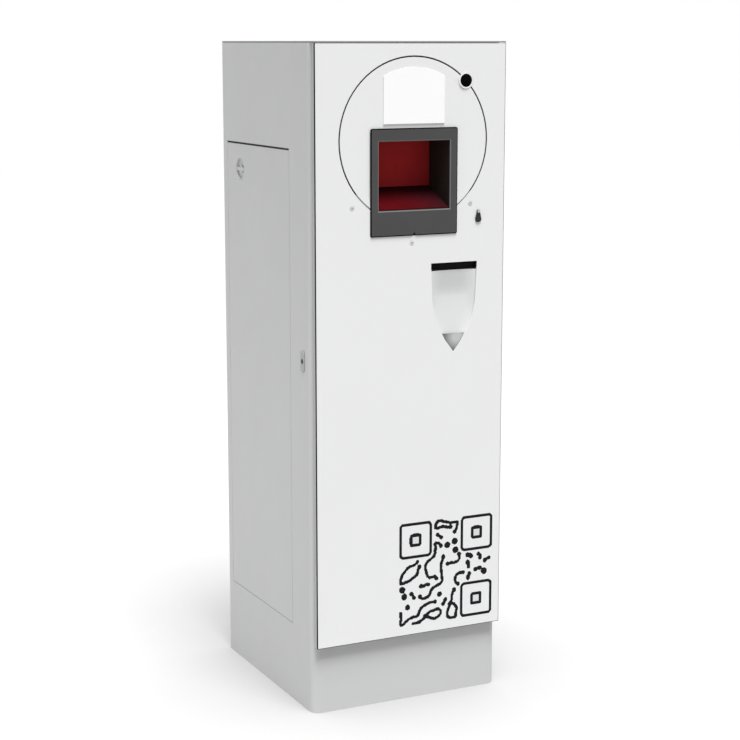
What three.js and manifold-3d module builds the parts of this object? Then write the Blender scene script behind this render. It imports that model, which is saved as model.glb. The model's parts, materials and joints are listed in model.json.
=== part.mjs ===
// Ticket vending machine: a floor-standing steel column with a ticket and code reader in its door.
// Millimetres, +Z up. The origin is the middle of the base plate's underside; the door faces -Y.

import * as THREE from 'three';
import { mergeVertices } from 'three/addons/utils/BufferGeometryUtils.js';
import Module from 'manifold-3d';

const wasm = await Module();
wasm.setup();

// ---------------------------------------------------------------------------
// Driving dimensions
// ---------------------------------------------------------------------------

// Clearances
const GAP = 0.3; // between two pieces that rest on each other
const TURN_GAP = 0.35; // round a shaft that turns in a hole
const SEAM = 1; // round a flush panel

// Cabinet
const MACHINE_HEIGHT = 1300;
const CABINET_WIDTH = 410;
const CABINET_DEPTH = 451;
const CABINET_CORNER = 18;
const SHEET = 2;
const CAP_THICKNESS = 3;
const CAP_SKIRT = 10;
const BASE_THICKNESS = 6;
const ANCHOR_RADIUS = 7;
const ANCHOR_MARGIN = 52;
const FRAME_WIDTH = 34;

// Door
const DOOR_BOTTOM = 138;
const DOOR_INSET = 3.5;
const DOOR_TOP_GAP = 0.8;
const DOOR_THICKNESS = 13.7;
const DOOR_SEAL_GAP = 2.5;
const DOOR_OVERLAP = 22;
const DOOR_LIP = 12;
const SKIN_THICKNESS = 2;
const SKIN_INSET = 0.5;
const SEAL_WIDTH = 9;

// Hinges
const HINGE_MARGIN = 164; // from each end of the door
const HINGE_KNUCKLE = 40;
const HINGE_RADIUS = 3.4;
const HINGE_PIN_RADIUS = 1.8;
const HINGE_OFFSET = 2;
const LEAF_THICKNESS = 1.6;
const LEAF_WIDTH = 16;

// Door lock in the left wall, with its vertical bar
const LOCK_SETBACK = 38.5;
const LOCK_DROP = 602.5; // below the machine's top
const LOCK_PLATE_WIDTH = 16;
const LOCK_PLATE_HEIGHT = 43;
const LOCK_PLATE_THICKNESS = 1.8;
const LOCK_SLEEVE_RADIUS = 7;
const LOCK_PLUG_RADIUS = 5;
const CAM_RADIUS = 12;
const CAM_THICKNESS = 3;
const CAM_PIN_RADIUS = 2.2;
const CAM_THROW = 9;
const BAR_THICKNESS = 3;
const BAR_WIDTH = 16;
const BAR_SETBACK = 9;
const BAR_END_MARGIN = 100;
const FINGER_MARGIN = 270; // from each end of the door opening
const FINGER_SIZE = 8;
const FINGER_DEPTH = 6;
const FINGER_RISE_GAP = 2;
const KEEPER_THICKNESS = 4;
const KEEPER_INSET = 5;
const GUIDE_MARGIN = 175; // from each end of the door opening
const GUIDE_LENGTH = 20;

// Service panel in the left wall
const PANEL_BOTTOM = 158;
const PANEL_TOP_DROP = 201; // below the machine's top
const PANEL_FRONT_SETBACK = 97.5;
const PANEL_REAR_SETBACK = 35.5;
const PANEL_TOP_SEAM = 2.5;
const LEDGE_WIDTH = 14;
const LEDGE_LAP = 12;
const HOOK_DROP = 12;
const HOOK_WIDTH = 40;
const LATCH_DROP = 54;
const LATCH_FROM_REAR = 69;
const LATCH_CUP_RADIUS = 21.5;
const LATCH_CUP_DEPTH = 6;
const LATCH_SHANK_RADIUS = 5;
const LATCH_WING_WIDTH = 7;
const TONGUE_LENGTH = 66;
const TONGUE_WIDTH = 16;

// Reader in the upper door
const READER_X = 4;
const READER_DROP = 185; // below the machine's top
const RING_RADIUS = 157;
const RING_GROOVE = 3;
const DISC_RIM = 5;
const DISC_BEVEL = 13;
const DISH_DEPTH = 1.5;
const HEADER_WIDTH = 130;
const HEADER_RISE = 31; // above the disc's centre
const HEADER_PROUD = 1;
const BEZEL_WIDTH = 186;
const BEZEL_DROP = 180.5;
const BEZEL_RISE = 23.5;
const BEZEL_PROUD = 3;
const BAY_WIDTH = 152;
const BAY_DROP = 131.5;
const BAY_HEIGHT = 130.5;
const BAY_DEPTH = 85;
const BAY_RISE = 38;
const BAY_WALL = 2.5;
const WINDOW_THICKNESS = 3;
const BAY_FLOOR_THICKNESS = 2;
const APERTURE_MARGIN = 14;
const ENGINE_WIDTH = 70;
const ENGINE_FLANGE_WIDTH = 140;
const ENGINE_HEIGHT = 44;
const ENGINE_DEPTH = 38;
const CAMERA_ANGLE = 45;
const CAMERA_LENS_RADIUS = 12.3;
const CAMERA_RING_WIDTH = 3.2;
const CAMERA_DEPTH = 36;
const SCREW_SPREAD = 126.5;
const SCREW_DROP = 124;
const SCREW_HEAD_RADIUS = 4.5;
const SCREW_SHANK_RADIUS = 2;
const LOWER_SCREW_DROP = 14.5;

// Key switch and its swivelling cover
const KEY_X = 144;
const KEY_DROP = 338; // below the machine's top
const KEY_BODY_RADIUS = 6.3;
const KEY_PLUG_RADIUS = 4.2;
const KEY_DEPTH = 30;
const COVER_PIVOT_RISE = 13;
const COVER_TOP_RADIUS = 3.6;
const COVER_BOTTOM_RADIUS = 7;
const COVER_THICKNESS = 1.9;
const RIVET_RADIUS = 1.4;

// Ticket slot, scoop and printer
const SLOT_X = 92.5;
const SLOT_DROP = 427.25; // below the machine's top
const SLOT_WIDTH = 101;
const SLOT_HEIGHT = 11.5;
const MOUTH_WALL = 4;
const MOUTH_DEPTH = 24;
const FLAP_THICKNESS = 1.2;
const FLAP_PIVOT_RADIUS = 1;
const FLAP_SETBACK = 8;
const SCOOP_INSET = 0.5; // in from the slot's ends
const SCOOP_TAPER = 3;
const SCOOP_SHOULDER_DROP = 72;
const SCOOP_DROP = 170;
const SCOOP_BEND = 0.86; // how full its lower end is, as a share of the shoulder
const SCOOP_TOP_DEPTH = 13;
const SCOOP_TIP_DEPTH = 3;
const SCOOP_BACK = 16;
const SCOOP_FLANGE = 4;
const TIP_DROP = 134;
const TIP_THICKNESS = 1.8;
const PRINTER_CLEARANCE = 0.5; // outside the mouth's ends
const PRINTER_DEPTH = 120;
const PRINTER_TOP = 26;
const PRINTER_FLOOR = -34;
const PLATEN_RADIUS = 8;
const PLATEN_SHAFT_RADIUS = 3;
const PLATEN_INSET = 6.5; // in from the slot's ends
const PLATEN_SETBACK = 24;
const COVER_HINGE_INSET = 8;
const CUTTER_HEIGHT = 16;
const CUTTER_THICKNESS = 1.2;
const CUTTER_DROP = 6;
const CUTTER_BEVEL = 3;
const ROLL_RADIUS = 60;
const ROLL_INSET = 10.5; // in from the slot's ends
const ROLL_DROP = 127;
const ROLL_SETBACK = 90;
const SPINDLE_RADIUS = 9;
const BRACKET_CLEARANCE = 22; // beside the roll
const BRACKET_HEIGHT = 40;

// Code print
const CODE_SIZE = 211;
const CODE_X = 80;
const CODE_Z = 262;
const CODE_THICKNESS = 0.4;

// Fan and vent in the rear wall
const FAN_DROP = 100; // below the machine's top
const FAN_SIZE = 120;
const FAN_DEPTH = 25;
const FAN_BORE = 57;
const FAN_HUB = 20;
const FAN_BLADES = 7;
const GRILLE_SIZE = 150;
const GRILLE_SLOTS = 8;
const GRILLE_SLOT_HEIGHT = 6;

// Electrical plate at the back
const PLATE_WIDTH = 330;
const PLATE_BOTTOM = 240;
const PLATE_TOP_DROP = 220; // below the machine's top
const PLATE_STANDOFF = 13.5;
const RAIL_DROP = 680; // below the machine's top
const RAIL_LENGTH = 300;
const RAIL_DEPTH = 7.5;
const BREAKER = { x: -105, width: 54, height: 86, depth: 60 };
const TOGGLE_HUB_RADIUS = 4;
const TOGGLE_REACH = 17;
const TOGGLE_TILT = 20;
const SUPPLY = { x: -20, width: 63, height: 125, depth: 110 };
// Its drop is below the machine's top.
const CONTROLLER = { width: 240, height: 160, depth: 45, drop: 440 };
const LEAD_RADIUS = 3.5;
const GLAND_X = -110;
const GLAND_Y = 120;
const GLAND_THREAD_RADIUS = 9;
const GLAND_FLANGE_RADIUS = 14;
const GLAND_BORE = 5.5;

// Facets round a full circle
const ROUND = 24;
const FINE_ROUND = 72;

// ---------------------------------------------------------------------------
// Places worked out from them
// ---------------------------------------------------------------------------

const FRONT = -CABINET_DEPTH / 2;
const BACK = CABINET_DEPTH / 2;
const SIDE = CABINET_WIDTH / 2;
const INNER_BACK = BACK - SHEET;
const INNER_SIDE = SIDE - SHEET;
const SHELL_TOP = MACHINE_HEIGHT - CAP_THICKNESS - GAP;
const OPENING_HALF = SIDE - FRAME_WIDTH;
const OPENING_BOTTOM = DOOR_BOTTOM + DOOR_OVERLAP;
const OPENING_TOP = SHELL_TOP - FRAME_WIDTH;

const DOOR_FRONT = FRONT - DOOR_SEAL_GAP - DOOR_THICKNESS;
const DOOR_HALF = SIDE - DOOR_INSET;
const DOOR_TOP = MACHINE_HEIGHT - CAP_THICKNESS - DOOR_TOP_GAP;
const TRAY_FACE = SKIN_THICKNESS + GAP; // depths below are measured from the door's front face
const TRAY_BACK = TRAY_FACE + SHEET;
const HINGE_X = DOOR_HALF - HINGE_OFFSET;
const HINGE_HEIGHTS = { lower: DOOR_BOTTOM + HINGE_MARGIN, upper: DOOR_TOP - HINGE_MARGIN };

const LOCK_Y = FRONT + LOCK_SETBACK;
const LOCK_HEIGHT = MACHINE_HEIGHT - LOCK_DROP;
const FINGER_HEIGHTS = {
  lower: OPENING_BOTTOM + FINGER_MARGIN,
  upper: OPENING_TOP - FINGER_MARGIN,
};
const GUIDE_HEIGHTS = {
  lower: OPENING_BOTTOM + GUIDE_MARGIN,
  upper: OPENING_TOP - GUIDE_MARGIN,
};
const BAR_X = -INNER_SIDE + CAM_THICKNESS + BAR_THICKNESS / 2 + 4.6;
const CAM_BACK_X = BAR_X - BAR_THICKNESS / 2 - GAP;
const BAR_FRONT = FRONT + BAR_SETBACK;
const BAR_BACK = BAR_FRONT + BAR_WIDTH;
const CAM_REST = CAM_THROW * Math.SQRT1_2;
const BAR_TRAVEL = 2 * CAM_REST;
const KEEPER_X = -OPENING_HALF + KEEPER_INSET;

const PANEL_TOP = MACHINE_HEIGHT - PANEL_TOP_DROP;
const PANEL_FRONT = FRONT + PANEL_FRONT_SETBACK;
const PANEL_REAR = BACK - PANEL_REAR_SETBACK;
const LATCH_Y = PANEL_REAR - LATCH_FROM_REAR;
const LATCH_Z = PANEL_TOP - LATCH_DROP;

const READER_Z = MACHINE_HEIGHT - READER_DROP;
const HEADER_BOTTOM = READER_Z + HEADER_RISE;
const BEZEL_BOTTOM = READER_Z - BEZEL_DROP;
const BEZEL_TOP = READER_Z + BEZEL_RISE;
const BAY_BOTTOM = READER_Z - BAY_DROP;
const BAY_TOP = BAY_BOTTOM + BAY_HEIGHT;
const DISC_RADIUS = RING_RADIUS - RING_GROOVE / 2;
const SKIN_HOLE_RADIUS = RING_RADIUS + RING_GROOVE / 2;
const DISH_RADIUS = DISC_RADIUS - DISC_RIM - DISC_BEVEL;
const DISC_BACK_RADIUS = DISC_RADIUS - DISC_RIM;
const BAY_REAR_BOTTOM = BAY_BOTTOM + BAY_RISE;
const CAMERA_X = READER_X + RING_RADIUS * Math.cos(THREE.MathUtils.degToRad(CAMERA_ANGLE));
const CAMERA_Z = READER_Z + RING_RADIUS * Math.sin(THREE.MathUtils.degToRad(CAMERA_ANGLE));
const CAMERA_BORE = CAMERA_LENS_RADIUS + GAP;
const CAMERA_RING_RADIUS = CAMERA_BORE + CAMERA_RING_WIDTH;
const CAMERA_BODY_RADIUS = CAMERA_RING_RADIUS - 1.4;

const KEY_Z = MACHINE_HEIGHT - KEY_DROP;
const SLOT_Z = MACHINE_HEIGHT - SLOT_DROP;
const SLOT_HALF = SLOT_WIDTH / 2;
const MOUTH_HALF = SLOT_HALF + MOUTH_WALL;
const SCOOP_TOP_HALF = SLOT_HALF - SCOOP_INSET;
const SCOOP_SHOULDER_HALF = SCOOP_TOP_HALF - SCOOP_TAPER;
const PRINTER_HALF = MOUTH_HALF + PRINTER_CLEARANCE;
const PLATEN_WIDTH = SLOT_WIDTH - 2 * PLATEN_INSET;
const ROLL_WIDTH = SLOT_WIDTH - 2 * ROLL_INSET;
const BRACKET_HALF = ROLL_WIDTH / 2 + BRACKET_CLEARANCE;
const PRINTER_FRONT = MOUTH_DEPTH + 2;
const FAN_Z = MACHINE_HEIGHT - FAN_DROP;
const PLATE_TOP = MACHINE_HEIGHT - PLATE_TOP_DROP;
const RAIL_Z = MACHINE_HEIGHT - RAIL_DROP;
const CONTROLLER_Z = MACHINE_HEIGHT - CONTROLLER.drop;
const PLATE_FACE = INNER_BACK - PLATE_STANDOFF - SHEET;
const RAIL_FACE = PLATE_FACE - GAP - RAIL_DEPTH;

// ---------------------------------------------------------------------------
// Materials
// ---------------------------------------------------------------------------

function finish(color, roughness, metalness = 0) {
  return () => new THREE.MeshStandardMaterial({ color, roughness, metalness });
}

const greyPaint = finish(0xcacbcb, 0.5);
const capPaint = finish(0x8f9192, 0.5);
const whitePaint = finish(0xe9eaea, 0.4);
const brightPaint = finish(0xf8f8f8, 0.35);
const darkPlastic = finish(0x5a5a5b, 0.55);
const blackPlastic = finish(0x1c1a1a, 0.5);
const redPlastic = finish(0x6e1216, 0.45);
const redGlass = finish(0x7d1517, 0.15);
const blackGlass = finish(0x060607, 0.08);
const greyPlastic = finish(0x9a9b9c, 0.5);
const zincSteel = finish(0xb4b8bb, 0.4, 0.8);
const brightSteel = finish(0xc9cbcd, 0.28, 0.9);
const brass = finish(0xb08d4a, 0.35, 0.9);
const rubber = finish(0x202122, 0.85);
const paper = finish(0xf1efe8, 0.9);

// ---------------------------------------------------------------------------
// Solids
// ---------------------------------------------------------------------------

function toSolid(geometry) {
  const bare = geometry.clone();
  bare.deleteAttribute('normal');
  bare.deleteAttribute('uv');
  const merged = mergeVertices(bare, 1e-4);
  const kept = [];
  for (let i = 0; i < merged.index.count; i += 3) {
    const [a, b, c] = [0, 1, 2].map((k) => merged.index.getX(i + k));
    if (a !== b && b !== c && c !== a) kept.push(a, b, c);
  }
  const vertProperties = new Float32Array(merged.attributes.position.array);
  return new wasm.Manifold(new wasm.Mesh({ numProp: 3, vertProperties, triVerts: new Uint32Array(kept) }));
}

function toGeometry(solid) {
  const mesh = solid.getMesh();
  const geometry = new THREE.BufferGeometry();
  geometry.setAttribute('position', new THREE.BufferAttribute(mesh.vertProperties, 3));
  geometry.setIndex(new THREE.BufferAttribute(mesh.triVerts, 1));
  return geometry;
}

function join(first, ...others) {
  return toGeometry(others.reduce((whole, other) => whole.add(toSolid(other)), toSolid(first)));
}

function cut(base, ...tools) {
  return toGeometry(tools.reduce((rest, tool) => rest.subtract(toSolid(tool)), toSolid(base)));
}

function common(first, second) {
  return toGeometry(toSolid(first).intersect(toSolid(second)));
}

// A box between two opposite corners.
function block([x0, y0, z0], [x1, y1, z1]) {
  const box = new THREE.BoxGeometry(x1 - x0, y1 - y0, z1 - z0);
  return box.translate((x0 + x1) / 2, (y0 + y1) / 2, (z0 + z1) / 2);
}

// Rods along each axis, between two places on it.
function rodX(radius, [x0, x1], y, z, sides = ROUND) {
  const rod = new THREE.CylinderGeometry(radius, radius, x1 - x0, sides);
  return rod.rotateZ(Math.PI / 2).translate((x0 + x1) / 2, y, z);
}

function rodY(radius, [y0, y1], x, z, sides = ROUND) {
  const rod = new THREE.CylinderGeometry(radius, radius, y1 - y0, sides);
  return rod.translate(x, (y0 + y1) / 2, z);
}

function rodZ(radius, [z0, z1], x, y, sides = ROUND) {
  const rod = new THREE.CylinderGeometry(radius, radius, z1 - z0, sides);
  return rod.rotateX(Math.PI / 2).translate(x, y, (z0 + z1) / 2);
}

// A solid turned about the Y axis from [radius, y] points, listed from the front round to the back.
function turnedY(points, sides = ROUND) {
  const profile = points.map(([radius, y]) => new THREE.Vector2(radius, y));
  return toGeometry(toSolid(new THREE.LatheGeometry(profile, sides)));
}

// Extrusions of a flat shape: drawn in XY and raised along Z, drawn in XZ and pushed along Y,
// or drawn in YZ and pushed along X.
function extrude(shape, depth) {
  return new THREE.ExtrudeGeometry(shape, { depth, bevelEnabled: false, curveSegments: 4 });
}

function extrudeZ(shape, [z0, z1]) {
  return extrude(shape, z1 - z0).translate(0, 0, z0);
}

function extrudeY(shape, [y0, y1]) {
  return extrude(shape, y1 - y0).rotateX(Math.PI / 2).translate(0, y1, 0);
}

function extrudeX(shape, [x0, x1]) {
  const turn = new THREE.Matrix4().makeBasis(
    new THREE.Vector3(0, 1, 0),
    new THREE.Vector3(0, 0, 1),
    new THREE.Vector3(1, 0, 0),
  );
  return extrude(shape, x1 - x0).applyMatrix4(turn).translate(x0, 0, 0);
}

function polygon(points) {
  return new THREE.Shape(points.map(([u, v]) => new THREE.Vector2(u, v)));
}

function roundedRect(width, height, radius, u = 0, v = 0) {
  const [a, b] = [width / 2 - radius, height / 2 - radius];
  const shape = new THREE.Shape();
  shape.absarc(u + a, v + b, radius, 0, Math.PI / 2);
  shape.absarc(u - a, v + b, radius, Math.PI / 2, Math.PI);
  shape.absarc(u - a, v - b, radius, Math.PI, 1.5 * Math.PI);
  shape.absarc(u + a, v - b, radius, 1.5 * Math.PI, 2 * Math.PI);
  return shape;
}

// The cabinet's inner outline, less a margin.
function insideOutline(margin) {
  return roundedRect(
    2 * (INNER_SIDE - margin),
    2 * (INNER_BACK - margin),
    CABINET_CORNER - SHEET - margin,
  );
}

function addPiece(parent, name, geometry, material) {
  const mesh = new THREE.Mesh(geometry, material());
  mesh.name = name;
  parent.add(mesh);
  return mesh;
}

function addGroup(parent, x, y, z) {
  const group = new THREE.Group();
  group.position.set(x, y, z);
  parent.add(group);
  return group;
}

// ---------------------------------------------------------------------------
// Cabinet
// ---------------------------------------------------------------------------

function panelLedge() {
  const [y0, y1] = [PANEL_FRONT - LEDGE_LAP, PANEL_REAR + LEDGE_LAP];
  const [x0, x1] = [-INNER_SIDE - SHEET / 2, -INNER_SIDE + GAP + SHEET];
  const plate = block([x0, y0, PANEL_BOTTOM + LEDGE_WIDTH], [x1, y1, PANEL_TOP + LEDGE_LAP]);
  const window = block(
    [x0 - 1, PANEL_FRONT + LEDGE_WIDTH, PANEL_BOTTOM],
    [x1 + 1, PANEL_REAR - LEDGE_WIDTH, PANEL_TOP - LEDGE_WIDTH],
  );
  return cut(plate, window);
}

function cabinetShell() {
  const outline = roundedRect(CABINET_WIDTH, CABINET_DEPTH, CABINET_CORNER);
  outline.holes.push(insideOutline(0));
  const walls = join(extrudeZ(outline, [0, SHELL_TOP]), panelLedge());
  const doorOpening = block(
    [-OPENING_HALF, FRONT - 1, OPENING_BOTTOM],
    [OPENING_HALF, FRONT + SHEET + 1, OPENING_TOP],
  );
  const panelOpening = block(
    [-SIDE - 1, PANEL_FRONT, PANEL_BOTTOM],
    [-INNER_SIDE + GAP, PANEL_REAR, PANEL_TOP],
  );
  const ventHalf = FAN_SIZE / 2 - 4;
  const ventOpening = block(
    [-ventHalf, INNER_BACK - 1, FAN_Z - ventHalf],
    [ventHalf, BACK + 1, FAN_Z + ventHalf],
  );
  const lockHole = rodX(LOCK_SLEEVE_RADIUS + GAP, [-SIDE - 1, -INNER_SIDE + 1], LOCK_Y, LOCK_HEIGHT);
  return cut(walls, doorOpening, panelOpening, ventOpening, lockHole);
}

function topCap() {
  const over = extrudeZ(
    roundedRect(CABINET_WIDTH, CABINET_DEPTH, CABINET_CORNER),
    [MACHINE_HEIGHT - CAP_THICKNESS, MACHINE_HEIGHT],
  );
  const brow = block(
    [-DOOR_HALF, DOOR_FRONT, MACHINE_HEIGHT - CAP_THICKNESS],
    [DOOR_HALF, FRONT + CABINET_CORNER, MACHINE_HEIGHT],
  );
  const ring = insideOutline(GAP);
  ring.holes.push(insideOutline(GAP + SHEET));
  const skirt = extrudeZ(ring, [SHELL_TOP - CAP_SKIRT, MACHINE_HEIGHT - CAP_THICKNESS / 2]);
  return join(over, brow, skirt);
}

function basePlate() {
  const plate = extrudeZ(insideOutline(GAP), [0, BASE_THICKNESS]);
  const holes = [];
  for (const x of [-SIDE + ANCHOR_MARGIN, SIDE - ANCHOR_MARGIN]) {
    for (const y of [FRONT + ANCHOR_MARGIN, BACK - ANCHOR_MARGIN]) {
      holes.push(rodZ(ANCHOR_RADIUS, [-1, BASE_THICKNESS + 1], x, y, 16));
    }
  }
  holes.push(rodZ(GLAND_THREAD_RADIUS + GAP, [-1, BASE_THICKNESS + 1], GLAND_X, GLAND_Y));
  return cut(plate, ...holes);
}

function cableGland() {
  const flangeTop = BASE_THICKNESS + GAP + 6;
  const flange = rodZ(GLAND_FLANGE_RADIUS, [BASE_THICKNESS + GAP, flangeTop], 0, 0, 6);
  const thread = rodZ(GLAND_THREAD_RADIUS, [0.5, flangeTop], 0, 0);
  const dome = rodZ(GLAND_THREAD_RADIUS + 2, [flangeTop - 1, flangeTop + 16], 0, 0);
  const bore = rodZ(GLAND_BORE, [-1, flangeTop + 20], 0, 0, 16);
  return cut(join(flange, thread, dome), bore);
}

function ventGrille() {
  const half = GRILLE_SIZE / 2;
  const plate = extrudeY(roundedRect(GRILLE_SIZE, GRILLE_SIZE, 6), [GAP, GAP + SHEET]);
  const slots = [];
  const pitch = (FAN_SIZE - 10) / GRILLE_SLOTS;
  for (let i = 0; i < GRILLE_SLOTS; i += 1) {
    const z = (i - (GRILLE_SLOTS - 1) / 2) * pitch;
    slots.push(block(
      [-half + 20, 0, z - GRILLE_SLOT_HEIGHT / 2],
      [half - 20, GAP + SHEET + 1, z + GRILLE_SLOT_HEIGHT / 2],
    ));
  }
  return cut(plate, ...slots);
}

function addCabinet(machine) {
  addPiece(machine, 'cabinet_shell', cabinetShell(), greyPaint);
  addPiece(machine, 'top_cap', topCap(), capPaint);
  addPiece(machine, 'base_plate', basePlate(), zincSteel);
  const gland = addGroup(machine, GLAND_X, GLAND_Y, 0);
  addPiece(gland, 'cable_gland', cableGland(), blackPlastic);
  const vent = addGroup(machine, 0, BACK, FAN_Z);
  addPiece(vent, 'vent_grille', ventGrille(), greyPaint);
}

// ---------------------------------------------------------------------------
// Fan
// ---------------------------------------------------------------------------

function fanHousing() {
  const [y0, y1] = [-GAP - FAN_DEPTH, -GAP];
  const square = extrudeY(roundedRect(FAN_SIZE, FAN_SIZE, 6), [y0, y1]);
  const ring = cut(square, rodY(FAN_BORE, [y0 - 1, y1 + 1], 0, 0, 36));
  const motor = rodY(FAN_HUB, [y1 - 3, y1], 0, 0);
  const struts = [0, 1, 2].map((i) => {
    const strut = block([-3, y1 - 3, 0], [3, y1, FAN_BORE + 2]);
    return strut.rotateY((i * 2 * Math.PI) / 3);
  });
  return join(ring, motor, ...struts);
}

function fanRotor() {
  const [y0, y1] = [-GAP - FAN_DEPTH + 2, -2 * GAP - 3];
  const hub = rodY(FAN_HUB, [y0, y1], 0, 0);
  const blades = Array.from({ length: FAN_BLADES }, (_, i) => {
    const blade = block([-1, -9, FAN_HUB - 3], [1, 9, FAN_BORE - 3]);
    blade.rotateZ(THREE.MathUtils.degToRad(40)).translate(0, (y0 + y1) / 2, 0);
    return blade.rotateY((i * 2 * Math.PI) / FAN_BLADES);
  });
  return join(hub, ...blades);
}

function addFan(machine) {
  const fan = addGroup(machine, 0, INNER_BACK, FAN_Z);
  addPiece(fan, 'fan_housing', fanHousing(), blackPlastic);
  addPiece(fan, 'fan_rotor', fanRotor(), darkPlastic);
}

// ---------------------------------------------------------------------------
// Electrical plate
// ---------------------------------------------------------------------------

function mountingPlate() {
  const half = PLATE_WIDTH / 2;
  const outline = polygon([
    [-half, INNER_BACK - GAP],
    [-half, PLATE_FACE],
    [half, PLATE_FACE],
    [half, INNER_BACK - GAP],
    [half - SHEET, INNER_BACK - GAP],
    [half - SHEET, PLATE_FACE + SHEET],
    [-half + SHEET, PLATE_FACE + SHEET],
    [-half + SHEET, INNER_BACK - GAP],
  ]);
  return extrudeZ(outline, [PLATE_BOTTOM, PLATE_TOP]);
}

function dinRail() {
  const [lip, web] = [17.5, 12.5];
  const [front, back] = [RAIL_FACE, PLATE_FACE - GAP];
  const section = polygon([
    [front, lip],
    [front, web - 1],
    [back - 1, web - 1],
    [back - 1, -web + 1],
    [front, -web + 1],
    [front, -lip],
    [front + 1, -lip],
    [front + 1, -web],
    [back, -web],
    [back, web],
    [front + 1, web],
    [front + 1, lip],
  ]);
  return extrudeX(section, [-RAIL_LENGTH / 2, RAIL_LENGTH / 2]);
}

// A rail-mounted case, its back against the rail's lips.
function railCase({ width, height, depth }) {
  return block([-width / 2, -GAP - depth, -height / 2], [width / 2, -GAP, height / 2]);
}

const TOGGLE_Y = -GAP - BREAKER.depth + 7;

function circuitBreaker() {
  const recess = block([-5, -GAP - BREAKER.depth - 1, -14], [5, TOGGLE_Y + 6, 14]);
  return cut(railCase(BREAKER), recess);
}

function breakerToggle() {
  const hub = rodX(TOGGLE_HUB_RADIUS, [-5 + GAP, 5 - GAP], 0, 0);
  const handle = block([-4, -TOGGLE_REACH, -2], [4, 0, 2]);
  return join(hub, handle.rotateX(THREE.MathUtils.degToRad(-TOGGLE_TILT)));
}

function controllerBox() {
  const { width, height, depth } = CONTROLLER;
  const box = block([-width / 2, -GAP - depth, -height / 2], [width / 2, -GAP, height / 2]);
  const ears = block([-width / 2 - 12, -GAP - SHEET, -20], [width / 2 + 12, -GAP, 20]);
  return join(box, ears);
}

// The lead between the power supply's top and the controller's underside.
function controlLead() {
  const start = RAIL_Z + SUPPLY.height / 2 + GAP;
  const end = CONTROLLER_Z - CONTROLLER.height / 2 - GAP;
  const [y0, y1] = [RAIL_FACE - SUPPLY.depth / 2, PLATE_FACE - CONTROLLER.depth / 2];
  const path = new THREE.CubicBezierCurve3(
    new THREE.Vector3(SUPPLY.x, y0, start),
    new THREE.Vector3(SUPPLY.x, y0, start + (end - start) * 0.45),
    new THREE.Vector3(SUPPLY.x, y1, end - (end - start) * 0.45),
    new THREE.Vector3(SUPPLY.x, y1, end),
  );
  const section = new THREE.Shape();
  section.absarc(0, 0, LEAD_RADIUS, 0, 2 * Math.PI);
  return new THREE.ExtrudeGeometry(section, { steps: 12, curveSegments: 5, extrudePath: path });
}

function addElectrics(machine) {
  addPiece(machine, 'mounting_plate', mountingPlate(), zincSteel);
  const rail = addGroup(machine, 0, 0, RAIL_Z);
  addPiece(rail, 'din_rail', dinRail(), zincSteel);
  const breaker = addGroup(rail, BREAKER.x, RAIL_FACE, 0);
  addPiece(breaker, 'circuit_breaker', circuitBreaker(), greyPlastic);
  addPiece(breaker, 'breaker_toggle', breakerToggle(), blackPlastic).position.y = TOGGLE_Y;
  const supply = addGroup(rail, SUPPLY.x, RAIL_FACE, 0);
  addPiece(supply, 'power_supply', railCase(SUPPLY), zincSteel);
  const controller = addGroup(machine, 0, PLATE_FACE, CONTROLLER_Z);
  addPiece(controller, 'controller_box', controllerBox(), zincSteel);
  addPiece(machine, 'control_lead', controlLead(), rubber);
}

// ---------------------------------------------------------------------------
// Door lock in the left wall
// ---------------------------------------------------------------------------

function lockHousing() {
  const out = -LOCK_PLATE_THICKNESS - GAP;
  const plate = extrudeX(
    roundedRect(LOCK_PLATE_WIDTH, LOCK_PLATE_HEIGHT, LOCK_PLATE_WIDTH / 2 - 0.5),
    [out, -GAP],
  );
  const sleeve = rodX(LOCK_SLEEVE_RADIUS, [out + 0.5, SHEET + 2.5], 0, 0);
  const bore = rodX(LOCK_PLUG_RADIUS + TURN_GAP, [out - 1, SHEET + 4], 0, 0);
  return cut(join(plate, sleeve), bore);
}

// The plug's front stands flush with its plate, and its tail carries the cam.
function lockPlug() {
  const out = -LOCK_PLATE_THICKNESS - GAP;
  const plug = rodX(LOCK_PLUG_RADIUS, [out, CAM_BACK_X + SIDE], 0, 0);
  const keyway = block([out - 1, -3.5, -0.8], [out + 4, 3.5, 0.8]);
  return cut(plug, keyway);
}

function lockCam() {
  const [x0, x1] = [CAM_BACK_X + SIDE - CAM_THICKNESS, CAM_BACK_X + SIDE];
  const disc = rodX(CAM_RADIUS, [x0, x1], 0, 0);
  const pin = rodX(CAM_PIN_RADIUS, [x0 + 1, x1 + GAP + BAR_THICKNESS + 1], -CAM_REST, -CAM_REST, 16);
  return cut(join(disc, pin), rodX(LOCK_PLUG_RADIUS + GAP, [x0 - 1, x1 + 1], 0, 0));
}

function lockBar() {
  const [x0, x1] = [BAR_X - BAR_THICKNESS / 2, BAR_X + BAR_THICKNESS / 2];
  const bottom = OPENING_BOTTOM + BAR_END_MARGIN;
  const strip = block([x0, BAR_FRONT, bottom], [x1, BAR_BACK, OPENING_TOP - BAR_END_MARGIN]);
  const slotZ = LOCK_HEIGHT - CAM_REST;
  const yoke = block([x0, BAR_BACK - 1, slotZ - 12], [x1, LOCK_Y + 4, slotZ + 12]);
  const play = CAM_PIN_RADIUS + 0.7;
  const slot = block(
    [x0 - 1, LOCK_Y - CAM_THROW - play, slotZ - play],
    [x1 + 1, LOCK_Y - CAM_REST + play, slotZ + play],
  );
  const fingers = Object.values(FINGER_HEIGHTS).map((z) => block(
    [x1 - 1, fingerFront(), z - FINGER_SIZE / 2],
    [KEEPER_X + KEEPER_THICKNESS / 2 + 4, fingerFront() + FINGER_DEPTH, z + FINGER_SIZE / 2],
  ));
  return cut(join(strip, yoke, ...fingers), slot);
}

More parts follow.
